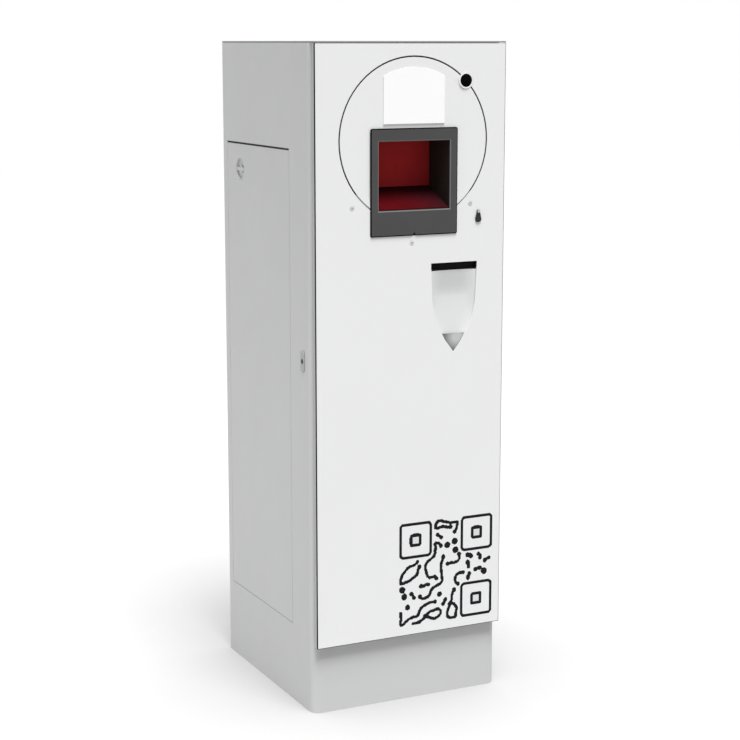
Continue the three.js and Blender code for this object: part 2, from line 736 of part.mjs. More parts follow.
function fingerFront() {
  return BAR_FRONT + 3;
}

function barGuide() {
  const [x0, x1] = [-INNER_SIDE + GAP, BAR_X + BAR_THICKNESS / 2 + 4];
  const body = block([x0, FRONT + SHEET + GAP, -GUIDE_LENGTH / 2], [x1, BAR_BACK + 3, GUIDE_LENGTH / 2]);
  const channel = block(
    [BAR_X - BAR_THICKNESS / 2 - GAP, BAR_FRONT - GAP, -GUIDE_LENGTH],
    [BAR_X + BAR_THICKNESS / 2 + GAP, BAR_BACK + GAP, GUIDE_LENGTH],
  );
  return cut(common(body, extrudeZ(insideOutline(GAP), [-GUIDE_LENGTH, GUIDE_LENGTH])), channel);
}

function addDoorLock(machine) {
  const lock = addGroup(machine, -SIDE, LOCK_Y, LOCK_HEIGHT);
  addPiece(lock, 'door_lock_housing', lockHousing(), brightSteel);
  addPiece(lock, 'door_lock_plug', lockPlug(), brass);
  addPiece(lock, 'door_lock_cam', lockCam(), zincSteel);
  addPiece(machine, 'lock_bar', lockBar(), zincSteel);
  for (const [place, z] of Object.entries(GUIDE_HEIGHTS)) {
    addPiece(machine, `bar_guide_${place}`, barGuide(), blackPlastic).position.z = z;
  }
}

// ---------------------------------------------------------------------------
// Service panel
// ---------------------------------------------------------------------------

function servicePanel() {
  const plate = block(
    [-SIDE, PANEL_FRONT + SEAM, PANEL_BOTTOM + SEAM],
    [-INNER_SIDE, PANEL_REAR - SEAM, PANEL_TOP - PANEL_TOP_SEAM],
  );
  const third = (PANEL_REAR - PANEL_FRONT) / 3;
  const hooks = [PANEL_FRONT + third / 2, PANEL_REAR - third / 2].map((y) => {
    const root = block(
      [-INNER_SIDE - 0.5, y - HOOK_WIDTH / 2, PANEL_BOTTOM + SEAM],
      [-INNER_SIDE + GAP + SHEET, y + HOOK_WIDTH / 2, PANEL_BOTTOM + SEAM + HOOK_DROP],
    );
    const tab = block(
      [-INNER_SIDE + GAP, y - HOOK_WIDTH / 2, PANEL_BOTTOM - HOOK_DROP],
      [-INNER_SIDE + GAP + SHEET, y + HOOK_WIDTH / 2, PANEL_BOTTOM + SEAM + 1],
    );
    return join(root, tab);
  });
  const cupHole = rodX(LATCH_CUP_RADIUS + GAP, [-SIDE - 1, -INNER_SIDE + 1], LATCH_Y, LATCH_Z, 36);
  return cut(join(plate, ...hooks), cupHole);
}

// A round dish set in the panel, with a clamping flange behind it.
function latchCup() {
  const cup = join(
    rodX(LATCH_CUP_RADIUS, [0, SHEET + 1], 0, 0, 36),
    rodX(LATCH_CUP_RADIUS + 3, [SHEET + GAP, LATCH_CUP_DEPTH], 0, 0, 36),
  );
  const dish = rodX(LATCH_CUP_RADIUS - 1.5, [-1, LATCH_CUP_DEPTH - 1.5], 0, 0, 36);
  const bore = rodX(LATCH_SHANK_RADIUS + TURN_GAP, [-1, LATCH_CUP_DEPTH + 1], 0, 0);
  return cut(cup, dish, bore);
}

function latchWing() {
  const seat = LATCH_CUP_DEPTH - 1.5 - GAP;
  const hub = rodX(8, [seat - 2, seat], 0, 0);
  const wing = block(
    [0.4, -LATCH_CUP_RADIUS + 4, -LATCH_WING_WIDTH / 2],
    [seat - 1, LATCH_CUP_RADIUS - 4, LATCH_WING_WIDTH / 2],
  );
  const shank = rodX(LATCH_SHANK_RADIUS, [seat - 1, LATCH_CUP_DEPTH + GAP + SHEET + 1], 0, 0);
  return join(hub, wing, shank);
}

function latchTongue() {
  const x0 = LATCH_CUP_DEPTH + GAP;
  const arm = block([x0, -TONGUE_LENGTH, -TONGUE_WIDTH / 2], [x0 + SHEET, 0, TONGUE_WIDTH / 2]);
  const eye = rodX(TONGUE_WIDTH / 2, [x0, x0 + SHEET], 0, 0);
  return cut(join(arm, eye), rodX(LATCH_SHANK_RADIUS + GAP, [x0 - 1, x0 + SHEET + 1], 0, 0));
}

function addServicePanel(machine) {
  addPiece(machine, 'service_panel', servicePanel(), greyPaint);
  const latch = addGroup(machine, -SIDE, LATCH_Y, LATCH_Z);
  addPiece(latch, 'panel_latch_cup', latchCup(), greyPaint);
  addPiece(latch, 'panel_latch_wing', latchWing(), greyPlastic);
  addPiece(latch, 'panel_latch_tongue', latchTongue(), zincSteel);
}

// ---------------------------------------------------------------------------
// Door: its group's origin is on the front face, so depths run back along +Y
// ---------------------------------------------------------------------------

function scoopOutline(grow = 0) {
  const top = -SLOT_HEIGHT / 2;
  const shoulder = SCOOP_SHOULDER_HALF + grow;
  const bend = SCOOP_SHOULDER_HALF * SCOOP_BEND + grow;
  const bendDrop = (SCOOP_SHOULDER_DROP + SCOOP_DROP) / 2 + 4;
  const shape = new THREE.Shape();
  shape.moveTo(-SCOOP_TOP_HALF - grow, top);
  shape.lineTo(-shoulder, -SCOOP_SHOULDER_DROP);
  shape.quadraticCurveTo(-bend, -bendDrop, 0, -SCOOP_DROP - grow);
  shape.quadraticCurveTo(bend, -bendDrop, shoulder, -SCOOP_SHOULDER_DROP);
  shape.lineTo(SCOOP_TOP_HALF + grow, top);
  return shape;
}

// Everything that passes through the door's front, cut wider by `grow`.
function slotCutter(grow, depths) {
  return block(
    [SLOT_X - SLOT_HALF - grow, depths[0], SLOT_Z - SLOT_HEIGHT / 2 - grow],
    [SLOT_X + SLOT_HALF + grow, depths[1], SLOT_Z + SLOT_HEIGHT / 2 + grow],
  );
}

function scoopCutter(grow, depths) {
  return extrudeY(scoopOutline(grow), depths).translate(SLOT_X, 0, SLOT_Z);
}

function screwPlaces() {
  return {
    left: [-SCREW_SPREAD, READER_Z - SCREW_DROP],
    right: [SCREW_SPREAD, READER_Z - SCREW_DROP],
    lower: [0, BEZEL_BOTTOM - LOWER_SCREW_DROP],
  };
}

function doorTray() {
  const [face, back] = [TRAY_FACE, DOOR_THICKNESS];
  const body = block([-DOOR_HALF, face, DOOR_BOTTOM], [DOOR_HALF, back, DOOR_TOP]);
  const hollow = block(
    [-DOOR_HALF + SHEET, TRAY_BACK, DOOR_BOTTOM + SHEET],
    [DOOR_HALF - SHEET, back - SHEET, DOOR_TOP - SHEET],
  );
  const rear = block(
    [-DOOR_HALF + SHEET + DOOR_LIP, TRAY_BACK, DOOR_BOTTOM + SHEET + DOOR_LIP],
    [DOOR_HALF - SHEET - DOOR_LIP, back + 1, DOOR_TOP - SHEET - DOOR_LIP],
  );
  const through = [face - 1, TRAY_BACK + 1];
  const holes = [
    rodY(DISC_BACK_RADIUS + GAP, through, READER_X, READER_Z, FINE_ROUND),
    block(
      [READER_X - BAY_WIDTH / 2 - BAY_WALL - GAP, through[0], BAY_BOTTOM - BAY_WALL - GAP],
      [READER_X + BAY_WIDTH / 2 + BAY_WALL + GAP, through[1], READER_Z],
    ),
    rodY(CAMERA_BODY_RADIUS + GAP, through, CAMERA_X, CAMERA_Z),
    rodY(KEY_BODY_RADIUS + GAP, through, KEY_X, KEY_Z),
    rodY(RIVET_RADIUS + GAP, through, KEY_X, KEY_Z + COVER_PIVOT_RISE, 12),
    slotCutter(MOUTH_WALL + GAP, through),
    scoopCutter(SCOOP_FLANGE + GAP, through),
    ...Object.values(screwPlaces()).map(([x, z]) => rodY(SCREW_SHANK_RADIUS + GAP, through, x, z, 12)),
    ...Object.values(HINGE_HEIGHTS).map((z) => block(
      [HINGE_X - 5.5, back - 5, z - HINGE_KNUCKLE - 2],
      [DOOR_HALF + 1, back + 1, z + HINGE_KNUCKLE + 2],
    )),
  ];
  return cut(body, hollow, rear, ...holes);
}

function doorSkin() {
  const half = DOOR_HALF - SKIN_INSET;
  const sheet = block([-half, 0, DOOR_BOTTOM + SKIN_INSET], [half, SKIN_THICKNESS, DOOR_TOP - SKIN_INSET]);
  const through = [-1, SKIN_THICKNESS + 1];
  return cut(
    sheet,
    rodY(SKIN_HOLE_RADIUS, through, READER_X, READER_Z, FINE_ROUND),
    block(
      [READER_X - BAY_WIDTH / 2 - BAY_WALL - GAP, through[0], BAY_BOTTOM - BAY_WALL - GAP],
      [READER_X + BAY_WIDTH / 2 + BAY_WALL + GAP, through[1], READER_Z],
    ),
    rodY(CAMERA_RING_RADIUS + GAP, through, CAMERA_X, CAMERA_Z, 36),
    rodY(KEY_BODY_RADIUS + GAP, through, KEY_X, KEY_Z),
    rodY(RIVET_RADIUS + GAP, through, KEY_X, KEY_Z + COVER_PIVOT_RISE, 12),
    slotCutter(0, through),
    scoopCutter(0, through),
    ...Object.values(screwPlaces()).map(([x, z]) => rodY(SCREW_HEAD_RADIUS + GAP, through, x, z)),
  );
}

function doorGasket() {
  const [y0, y1] = [DOOR_THICKNESS + GAP, DOOR_THICKNESS + DOOR_SEAL_GAP - GAP];
  const frame = (margin, front, back) => block(
    [-OPENING_HALF - margin, front, OPENING_BOTTOM - margin],
    [OPENING_HALF + margin, back, OPENING_TOP + margin],
  );
  return cut(frame(SEAL_WIDTH + 1, y0, y1), frame(1, y0 - 1, y1 + 1));
}

// Half a lift-off hinge about its own axis: the cabinet's half holds the pin and lies under the door's.
function fixedHinge() {
  const knuckle = rodZ(HINGE_RADIUS, [-HINGE_KNUCKLE, -GAP / 2], 0, 0);
  const leafBack = DOOR_SEAL_GAP - GAP;
  const leaf = block([-LEAF_WIDTH, leafBack - LEAF_THICKNESS, -HINGE_KNUCKLE], [0, leafBack, -GAP / 2]);
  const pin = rodZ(HINGE_PIN_RADIUS, [-1, HINGE_KNUCKLE - 4], 0, 0, 16);
  return join(knuckle, leaf, pin);
}

function movingHinge() {
  const knuckle = rodZ(HINGE_RADIUS, [GAP / 2, HINGE_KNUCKLE], 0, 0);
  const leafReach = DOOR_THICKNESS - TRAY_BACK - GAP;
  const leaf = block([-LEAF_THICKNESS - GAP, -leafReach, GAP / 2], [-GAP, 0, HINGE_KNUCKLE]);
  const bore = rodZ(HINGE_PIN_RADIUS + TURN_GAP, [-1, HINGE_KNUCKLE + 1], 0, 0, 16);
  return cut(join(knuckle, leaf), bore);
}

// A J-shaped catch: the bar's finger rises into it, in front of its lip.
function doorKeeper() {
  const fingerBack = fingerFront() + FINGER_DEPTH - DOOR_FRONT;
  const [lipFront, lipBack] = [fingerBack + 1, fingerBack + 7];
  const lipBottom = FINGER_SIZE / 2 + FINGER_RISE_GAP;
  const armBottom = FINGER_SIZE / 2 + BAR_TRAVEL + FINGER_RISE_GAP;
  const top = armBottom + 8;
  const foot = TRAY_BACK + GAP;
  const hook = polygon([
    [foot, armBottom],
    [lipFront, armBottom],
    [lipFront, lipBottom],
    [lipBack, lipBottom],
    [lipBack, top],
    [foot, top],
  ]);
  const half = KEEPER_THICKNESS / 2;
  const base = block([-half, foot, armBottom - 8], [half + 16, foot + SHEET, top + 8]);
  return join(extrudeX(hook, [-half, half]), base);
}

function addDoorBody(door) {
  addPiece(door, 'door_tray', doorTray(), greyPaint);
  addPiece(door, 'door_skin', doorSkin(), whitePaint);
  addPiece(door, 'door_gasket', doorGasket(), rubber);
  for (const [place, z] of Object.entries(HINGE_HEIGHTS)) {
    const hinge = addGroup(door, HINGE_X, DOOR_THICKNESS, z);
    addPiece(hinge, `hinge_fixed_${place}`, fixedHinge(), zincSteel);
    addPiece(hinge, `hinge_moving_${place}`, movingHinge(), zincSteel);
  }
  for (const [place, z] of Object.entries(FINGER_HEIGHTS)) {
    const keeper = addGroup(door, KEEPER_X, 0, z);
    addPiece(keeper, `door_keeper_${place}`, doorKeeper(), zincSteel);
  }
  const code = block(
    [CODE_X - CODE_SIZE / 2, -GAP - CODE_THICKNESS, CODE_Z - CODE_SIZE / 2],
    [CODE_X + CODE_SIZE / 2, -GAP, CODE_Z + CODE_SIZE / 2],
  );
  addPiece(door, 'code_print', code, whitePaint);
}

// ---------------------------------------------------------------------------
// Reader: its group's origin is the disc's centre on the door's front face
// ---------------------------------------------------------------------------

function cameraCutter(radius, depths) {
  return rodY(radius, depths, CAMERA_X - READER_X, CAMERA_Z - READER_Z, 36);
}

// A dished disc, open below the window, where the bezel covers it.
function readerDisc() {
  const back = DISH_DEPTH + SHEET;
  const disc = turnedY([
    [0, DISH_DEPTH],
    [DISH_RADIUS, DISH_DEPTH],
    [DISH_RADIUS + DISC_BEVEL, 0],
    [DISC_RADIUS, 0],
    [DISC_RADIUS, SKIN_THICKNESS],
    [DISC_BACK_RADIUS, SKIN_THICKNESS],
    [DISC_BACK_RADIUS, back],
    [0, back],
  ], FINE_ROUND);
  const half = BAY_WIDTH / 2 + BAY_WALL + GAP;
  const window = block(
    [-half, -1, -DISC_RADIUS - 1],
    [half, back + 1, BAY_TOP + BAY_WALL + GAP - READER_Z],
  );
  return cut(disc, window, cameraCutter(CAMERA_RING_RADIUS + GAP, [-1, back + 1]));
}

function headerPlate() {
  const half = HEADER_WIDTH / 2;
  const radius = DISH_RADIUS - GAP;
  const shoulder = Math.sqrt(radius ** 2 - half ** 2);
  const bottom = HEADER_BOTTOM - READER_Z;
  const shape = new THREE.Shape();
  shape.moveTo(-half, bottom);
  shape.lineTo(half, bottom);
  shape.lineTo(half, shoulder);
  const angle = Math.atan2(shoulder, half);
  shape.absarc(0, 0, radius, angle, Math.PI - angle);
  return extrudeY(shape, [-HEADER_PROUD, DISH_DEPTH - GAP]);
}

function windowBezel() {
  const [low, high] = [BEZEL_BOTTOM - READER_Z, BEZEL_TOP - READER_Z];
  const plate = roundedRect(BEZEL_WIDTH, high - low, 4, 0, (low + high) / 2);
  const opening = block(
    [-BAY_WIDTH / 2, -BEZEL_PROUD - 1, BAY_BOTTOM - READER_Z],
    [BAY_WIDTH / 2, 1, BAY_TOP - READER_Z],
  );
  return cut(extrudeY(plate, [-BEZEL_PROUD, -GAP]), opening);
}

// The bay's section, grown by a wall, from `front` to `back`.
function baySection(grow, front, back) {
  const slope = BAY_RISE / BAY_DEPTH;
  const low = BAY_BOTTOM - READER_Z - grow;
  return polygon([
    [front, low + front * slope],
    [back, low + back * slope],
    [back, BAY_TOP - READER_Z + grow],
    [front, BAY_TOP - READER_Z + grow],
  ]);
}

function scanBay() {
  const half = BAY_WIDTH / 2;
  const outer = extrudeX(
    baySection(BAY_WALL, 0, BAY_DEPTH + BAY_WALL),
    [-half - BAY_WALL, half + BAY_WALL],
  );
  const inner = extrudeX(baySection(0, -1, BAY_DEPTH), [-half, half]);
  const aperture = block(
    [-half + APERTURE_MARGIN, BAY_DEPTH - 1, BAY_REAR_BOTTOM + APERTURE_MARGIN - READER_Z],
    [half - APERTURE_MARGIN, BAY_DEPTH + BAY_WALL + 1, BAY_TOP - APERTURE_MARGIN - READER_Z],
  );
  return cut(outer, inner, aperture);
}

function scanWindow() {
  const half = BAY_WIDTH / 2 - GAP;
  return extrudeX(
    baySection(-GAP, BAY_DEPTH - GAP - WINDOW_THICKNESS, BAY_DEPTH - GAP),
    [-half, half],
  );
}

function bayFloor() {
  const half = BAY_WIDTH / 2 - GAP;
  const slope = BAY_RISE / BAY_DEPTH;
  const [front, back] = [1, BAY_DEPTH - WINDOW_THICKNESS - 3 * GAP];
  const low = BAY_BOTTOM - READER_Z + GAP * 1.2;
  const section = polygon([
    [front, low + front * slope],
    [back, low + back * slope],
    [back, low + back * slope + BAY_FLOOR_THICKNESS],
    [front, low + front * slope + BAY_FLOOR_THICKNESS],
  ]);
  return extrudeX(section, [-half, half]);
}

function scannerEngine() {
  const front = BAY_DEPTH + BAY_WALL + GAP;
  const middle = (BAY_REAR_BOTTOM + BAY_TOP) / 2 - READER_Z;
  const slab = (width, depth) => block(
    [-width / 2, front, middle - ENGINE_HEIGHT / 2],
    [width / 2, front + depth, middle + ENGINE_HEIGHT / 2],
  );
  return join(slab(ENGINE_WIDTH, ENGINE_DEPTH), slab(ENGINE_FLANGE_WIDTH, SHEET));
}

function cameraHousing() {
  const ring = rodY(CAMERA_RING_RADIUS, [-0.8, SKIN_THICKNESS], 0, 0, 36);
  const body = rodY(CAMERA_BODY_RADIUS, [SKIN_THICKNESS - 1, CAMERA_DEPTH], 0, 0);
  return cut(join(ring, body), rodY(CAMERA_BORE, [-2, 10], 0, 0));
}

function cameraLens() {
  const radius = CAMERA_LENS_RADIUS;
  const dome = [0.35, 0.65, 0.88].map((share) => [radius * share, -0.5 - 1.8 * (1 - share ** 2)]);
  return turnedY([[0, -2.3], ...dome, [radius, -0.5], [radius, 9.7], [0, 9.7]]);
}

function readerScrew() {
  const seat = SKIN_THICKNESS - 0.1;
  const head = turnedY([
    [0, -0.5],
    [SCREW_HEAD_RADIUS * 0.8, -0.5],
    [SCREW_HEAD_RADIUS, 0],
    [SCREW_HEAD_RADIUS, seat],
    [SCREW_SHANK_RADIUS, seat],
    [SCREW_SHANK_RADIUS, TRAY_BACK + 4],
    [0, TRAY_BACK + 4],
  ]);
  const socket = rodY(SCREW_HEAD_RADIUS * 0.42, [-1, 1.2], 0, 0, 6);
  return cut(head, socket);
}

function addReader(door) {
  const reader = addGroup(door, READER_X, 0, READER_Z);
  addPiece(reader, 'reader_disc', readerDisc(), whitePaint);
  addPiece(reader, 'header_plate', headerPlate(), brightPaint);
  addPiece(reader, 'window_bezel', windowBezel(), darkPlastic);
  addPiece(reader, 'scan_bay', scanBay(), blackPlastic);
  addPiece(reader, 'bay_floor', bayFloor(), redPlastic);
  addPiece(reader, 'scan_window', scanWindow(), redGlass);
  addPiece(reader, 'scanner_engine', scannerEngine(), blackPlastic);
  const camera = addGroup(door, CAMERA_X, 0, CAMERA_Z);
  addPiece(camera, 'camera_housing', cameraHousing(), whitePaint);
  addPiece(camera, 'camera_lens', cameraLens(), blackGlass);
  for (const [place, [x, z]] of Object.entries(screwPlaces())) {
    addPiece(addGroup(door, x, 0, z), `reader_screw_${place}`, readerScrew(), whitePaint);
  }
}

// ---------------------------------------------------------------------------
// Key switch
// ---------------------------------------------------------------------------

function keySwitchBody() {
  const body = rodY(KEY_BODY_RADIUS, [-0.5, KEY_DEPTH], 0, 0);
  return cut(body, rodY(KEY_PLUG_RADIUS + TURN_GAP, [-1, KEY_DEPTH - 4], 0, 0));
}

function keySwitchPlug() {
  const plug = rodY(KEY_PLUG_RADIUS, [-0.5, KEY_DEPTH - 4 - GAP], 0, 0);
  return cut(plug, block([-0.7, -1, -3], [0.7, 3, 3]));
}

// A drop-shaped flap that hangs from its rivet over the keyhole.
function keyholeCover() {
  const lean = Math.asin((COVER_BOTTOM_RADIUS - COVER_TOP_RADIUS) / COVER_PIVOT_RISE);
  const shape = new THREE.Shape();
  shape.absarc(0, 0, COVER_TOP_RADIUS, -lean, Math.PI + lean);
  shape.absarc(0, -COVER_PIVOT_RISE - 1, COVER_BOTTOM_RADIUS, Math.PI + lean, 2 * Math.PI - lean);
  const back = -0.5 - GAP;
  const plate = extrudeY(shape, [back - COVER_THICKNESS, back]);
  return cut(plate, rodY(RIVET_RADIUS + GAP, [back - COVER_THICKNESS - 1, 0], 0, 0, 12));
}

function coverRivet() {
  const head = -0.5 - 2 * GAP - COVER_THICKNESS;
  const shank = rodY(RIVET_RADIUS, [head - 0.5, TRAY_BACK + 1], 0, 0, 12);
  return join(rodY(RIVET_RADIUS * 2, [head - 1, head], 0, 0), shank);
}

function addKeySwitch(door) {
  const key = addGroup(door, KEY_X, 0, KEY_Z);
  addPiece(key, 'key_switch_body', keySwitchBody(), brightSteel);
  addPiece(key, 'key_switch_plug', keySwitchPlug(), brass);
  const cover = addGroup(key, 0, 0, COVER_PIVOT_RISE);
  addPiece(cover, 'keyhole_cover', keyholeCover(), darkPlastic);
  addPiece(cover, 'cover_rivet', coverRivet(), brightSteel);
}

// ---------------------------------------------------------------------------
// Ticket slot and printer: their group's origin is the slot's centre
// ---------------------------------------------------------------------------

const FLAP_PIVOT_Z = SLOT_HEIGHT / 2 - 2.2;

function ticketMouth() {
  const outerHalf = SLOT_HEIGHT / 2 + MOUTH_WALL;
  const body = block([-MOUTH_HALF, TRAY_FACE, -outerHalf], [MOUTH_HALF, MOUTH_DEPTH, outerHalf]);
  const throat = block([-SLOT_HALF, 0, -SLOT_HEIGHT / 2], [SLOT_HALF, MOUTH_DEPTH + 1, SLOT_HEIGHT / 2]);
  const scoopRoom = block(
    [-MOUTH_HALF - 1, 0, -outerHalf - 1],
    [MOUTH_HALF + 1, SCOOP_BACK + GAP, -SLOT_HEIGHT / 2],
  );
  const pivot = FLAP_PIVOT_RADIUS + TURN_GAP;
  const holes = rodX(pivot, [-SLOT_HALF - 2.5, SLOT_HALF + 2.5], FLAP_SETBACK, FLAP_PIVOT_Z, 16);
  return cut(body, throat, scoopRoom, holes);
}

function slotFlap() {
  const pin = rodX(FLAP_PIVOT_RADIUS, [-SLOT_HALF - 2, SLOT_HALF + 2], 0, 0, 12);
  const length = FLAP_PIVOT_Z + SLOT_HEIGHT / 2 - 0.6;
  const half = SLOT_HALF - 0.8;
  const plate = block([-half, -FLAP_THICKNESS / 2, -length], [half, FLAP_THICKNESS / 2, 0]);
  return join(pin, plate);
}

// The scoop's floor, from its deep end under the slot to its shallow tip.
function scoopFloorAt(drop) {
  const share = (drop - SLOT_HEIGHT / 2) / (SCOOP_DROP - SLOT_HEIGHT / 2);
  return SCOOP_TOP_DEPTH + (SCOOP_TIP_DEPTH - SCOOP_TOP_DEPTH) * share;
}

function ticketScoop() {
  const top = -SLOT_HEIGHT / 2 - GAP;
  const body = common(
    extrudeY(scoopOutline(SCOOP_FLANGE), [TRAY_FACE, SCOOP_BACK]),
    block([-MOUTH_HALF * 2, 0, -SCOOP_DROP * 2], [MOUTH_HALF * 2, SCOOP_BACK + 1, top]),
  );
  const wedge = extrudeX(polygon([
    [-1, 1],
    [-1, -SCOOP_DROP - 1],
    [scoopFloorAt(SCOOP_DROP + 1), -SCOOP_DROP - 1],
    [scoopFloorAt(-1), 1],
  ]), [-SCOOP_TOP_HALF - 1, SCOOP_TOP_HALF + 1]);
  return cut(body, common(extrudeY(scoopOutline(), [-1, SCOOP_BACK]), wedge));
}

// A pointed inlay that fills the scoop's lower end and lies on its floor.
function scoopTip() {
  const back = (drop) => scoopFloorAt(drop) - GAP;
  const low = SCOOP_DROP + 1;
  const layer = extrudeX(polygon([
    [back(TIP_DROP) - TIP_THICKNESS, -TIP_DROP],
    [back(low) - TIP_THICKNESS, -low],
    [back(low), -low],
    [back(TIP_DROP), -TIP_DROP],
  ]), [-SCOOP_TOP_HALF, SCOOP_TOP_HALF]);
  return common(extrudeY(scoopOutline(-1), [-1, SCOOP_BACK]), layer);
}

// A pair of upright plates, each with its inner face `half` from the middle.
function sidePlates(half, [y0, y1], [z0, z1]) {
  return [
    block([-half - SHEET, y0, z0], [-half, y1, z1]),
    block([half, y0, z0], [half + SHEET, y1, z1]),
  ];
}

function platenPlace() {
  return [PRINTER_FRONT + PLATEN_SETBACK, PLATEN_RADIUS];
}

function coverHingePlace() {
  return [PRINTER_DEPTH - COVER_HINGE_INSET, PRINTER_TOP - 5];
}

function printerChassis() {
  const [half, outer] = [PRINTER_HALF, PRINTER_HALF + SHEET];
  const floorTop = PRINTER_FLOOR + SHEET;
  const sides = sidePlates(half, [TRAY_BACK + GAP, PRINTER_DEPTH], [PRINTER_FLOOR, PRINTER_TOP]);
  const floor = block([-outer, PRINTER_FRONT, PRINTER_FLOOR], [outer, PRINTER_DEPTH, floorTop]);
  const front = block(
    [-outer, PRINTER_FRONT, PRINTER_FLOOR],
    [outer, PRINTER_FRONT + SHEET, PRINTER_TOP - 6],
  );
  const exit = block([-SLOT_HALF, PRINTER_FRONT - 1, -4], [SLOT_HALF, PRINTER_FRONT + SHEET + 1, 4]);
  const [platenY] = platenPlace();
  const headHalf = PLATEN_WIDTH / 2;
  const head = block([-headHalf, platenY - 6, PRINTER_FLOOR], [headHalf, platenY + 6, -GAP]);
  const feedHalf = ROLL_WIDTH / 2 + 2;
  const feed = block(
    [-feedHalf, platenY + 20, PRINTER_FLOOR - 1],
    [feedHalf, platenY + 40, floorTop + 1],
  );
  const [hingeY, hingeZ] = coverHingePlace();
  const pivots = rodX(2 + TURN_GAP, [-outer - 1, outer + 1], hingeY, hingeZ, 16);
  return cut(join(...sides, floor, front, head), exit, feed, pivots);
}

function printerCover() {
  const [hingeY, hingeZ] = coverHingePlace();
  const half = PRINTER_HALF - 1;
  const [platenY, platenZ] = platenPlace();
  const lid = block([-half, PRINTER_FRONT + 6, PRINTER_TOP - 2], [half, PRINTER_DEPTH, PRINTER_TOP]);
  const rear = block([-half, hingeY - 3, hingeZ - 3], [half, hingeY + 3, PRINTER_TOP]);
  const ears = [-1, 1].map((side) => block(
    [side * (half - 1) - 1, platenY - 6, platenZ - 6],
    [side * (half - 1) + 1, platenY + 6, PRINTER_TOP],
  ));
  const pin = rodX(2, [-half - 2, half + 2], hingeY, hingeZ, 16);
  const shaft = rodX(PLATEN_SHAFT_RADIUS + TURN_GAP, [-half - 1, half + 1], platenY, platenZ, 16);
  return cut(join(lid, rear, ...ears, pin), shaft);
}

function platenRoller() {
  const roller = rodX(PLATEN_RADIUS, [-PLATEN_WIDTH / 2, PLATEN_WIDTH / 2], 0, 0);
  return join(roller, rodX(PLATEN_SHAFT_RADIUS, [-PRINTER_HALF + 1.5, PRINTER_HALF - 1.5], 0, 0, 16));
}

function cutterBlade() {
  const front = PRINTER_FRONT + SHEET + GAP;
  const back = front + CUTTER_THICKNESS;
  const half = PLATEN_WIDTH / 2;
  const section = polygon([
    [front, -CUTTER_DROP],
    [front, -CUTTER_DROP - CUTTER_HEIGHT],
    [back, -CUTTER_DROP - CUTTER_HEIGHT],
    [back, -CUTTER_DROP - CUTTER_BEVEL],
  ]);
  return extrudeX(section, [-half, half]);
}

function rollBracket() {
  const reach = [TRAY_BACK + GAP, ROLL_SETBACK + 16];
  const arms = sidePlates(BRACKET_HALF, reach, [-BRACKET_HEIGHT / 2, BRACKET_HEIGHT / 2]);
  const spindle = rodX(SPINDLE_RADIUS, [-BRACKET_HALF - 1, BRACKET_HALF + 1], ROLL_SETBACK, 0);
  return join(...arms, spindle);
}

function paperRoll() {
  const roll = rodX(ROLL_RADIUS, [-ROLL_WIDTH / 2, ROLL_WIDTH / 2], 0, 0, 40);
  return cut(roll, rodX(SPINDLE_RADIUS + TURN_GAP, [-ROLL_WIDTH, ROLL_WIDTH], 0, 0));
}

function addTicketUnit(door) {
  const ticket = addGroup(door, SLOT_X, 0, SLOT_Z);
  addPiece(ticket, 'ticket_mouth', ticketMouth(), blackPlastic);
  const flap = addPiece(ticket, 'slot_flap', slotFlap(), blackPlastic);
  flap.position.set(0, FLAP_SETBACK, FLAP_PIVOT_Z);
  addPiece(ticket, 'ticket_scoop', ticketScoop(), whitePaint);
  addPiece(ticket, 'scoop_tip', scoopTip(), greyPlastic);
  addPiece(ticket, 'printer_chassis', printerChassis(), zincSteel);
  addPiece(ticket, 'printer_cover', printerCover(), darkPlastic);
  const platen = addPiece(ticket, 'platen_roller', platenRoller(), rubber);
  platen.position.set(0, ...platenPlace());
  addPiece(ticket, 'cutter_blade', cutterBlade(), brightSteel);
  const supply = addGroup(ticket, 0, 0, -ROLL_DROP);
  addPiece(supply, 'roll_bracket', rollBracket(), zincSteel);
  addPiece(supply, 'paper_roll', paperRoll(), paper).position.y = ROLL_SETBACK;
}

// ---------------------------------------------------------------------------
// Whole machine
// ---------------------------------------------------------------------------

function ticketMachine() {
  const machine = new THREE.Group();
  addCabinet(machine);
  addFan(machine);
  addElectrics(machine);
  addDoorLock(machine);
  addServicePanel(machine);
  const door = addGroup(machine, 0, DOOR_FRONT, 0);
  addDoorBody(door);
  addReader(door);
  addKeySwitch(door);
  addTicketUnit(door);
  return machine;
}

export default ticketMachine();
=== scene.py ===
"""Looks of a floor-standing ticket machine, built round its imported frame. Sizes are in metres."""

import json
import logging
import math
import random
from dataclasses import dataclass, field
from enum import Enum

import bmesh
import bpy
from mathutils import Euler, Matrix, Vector


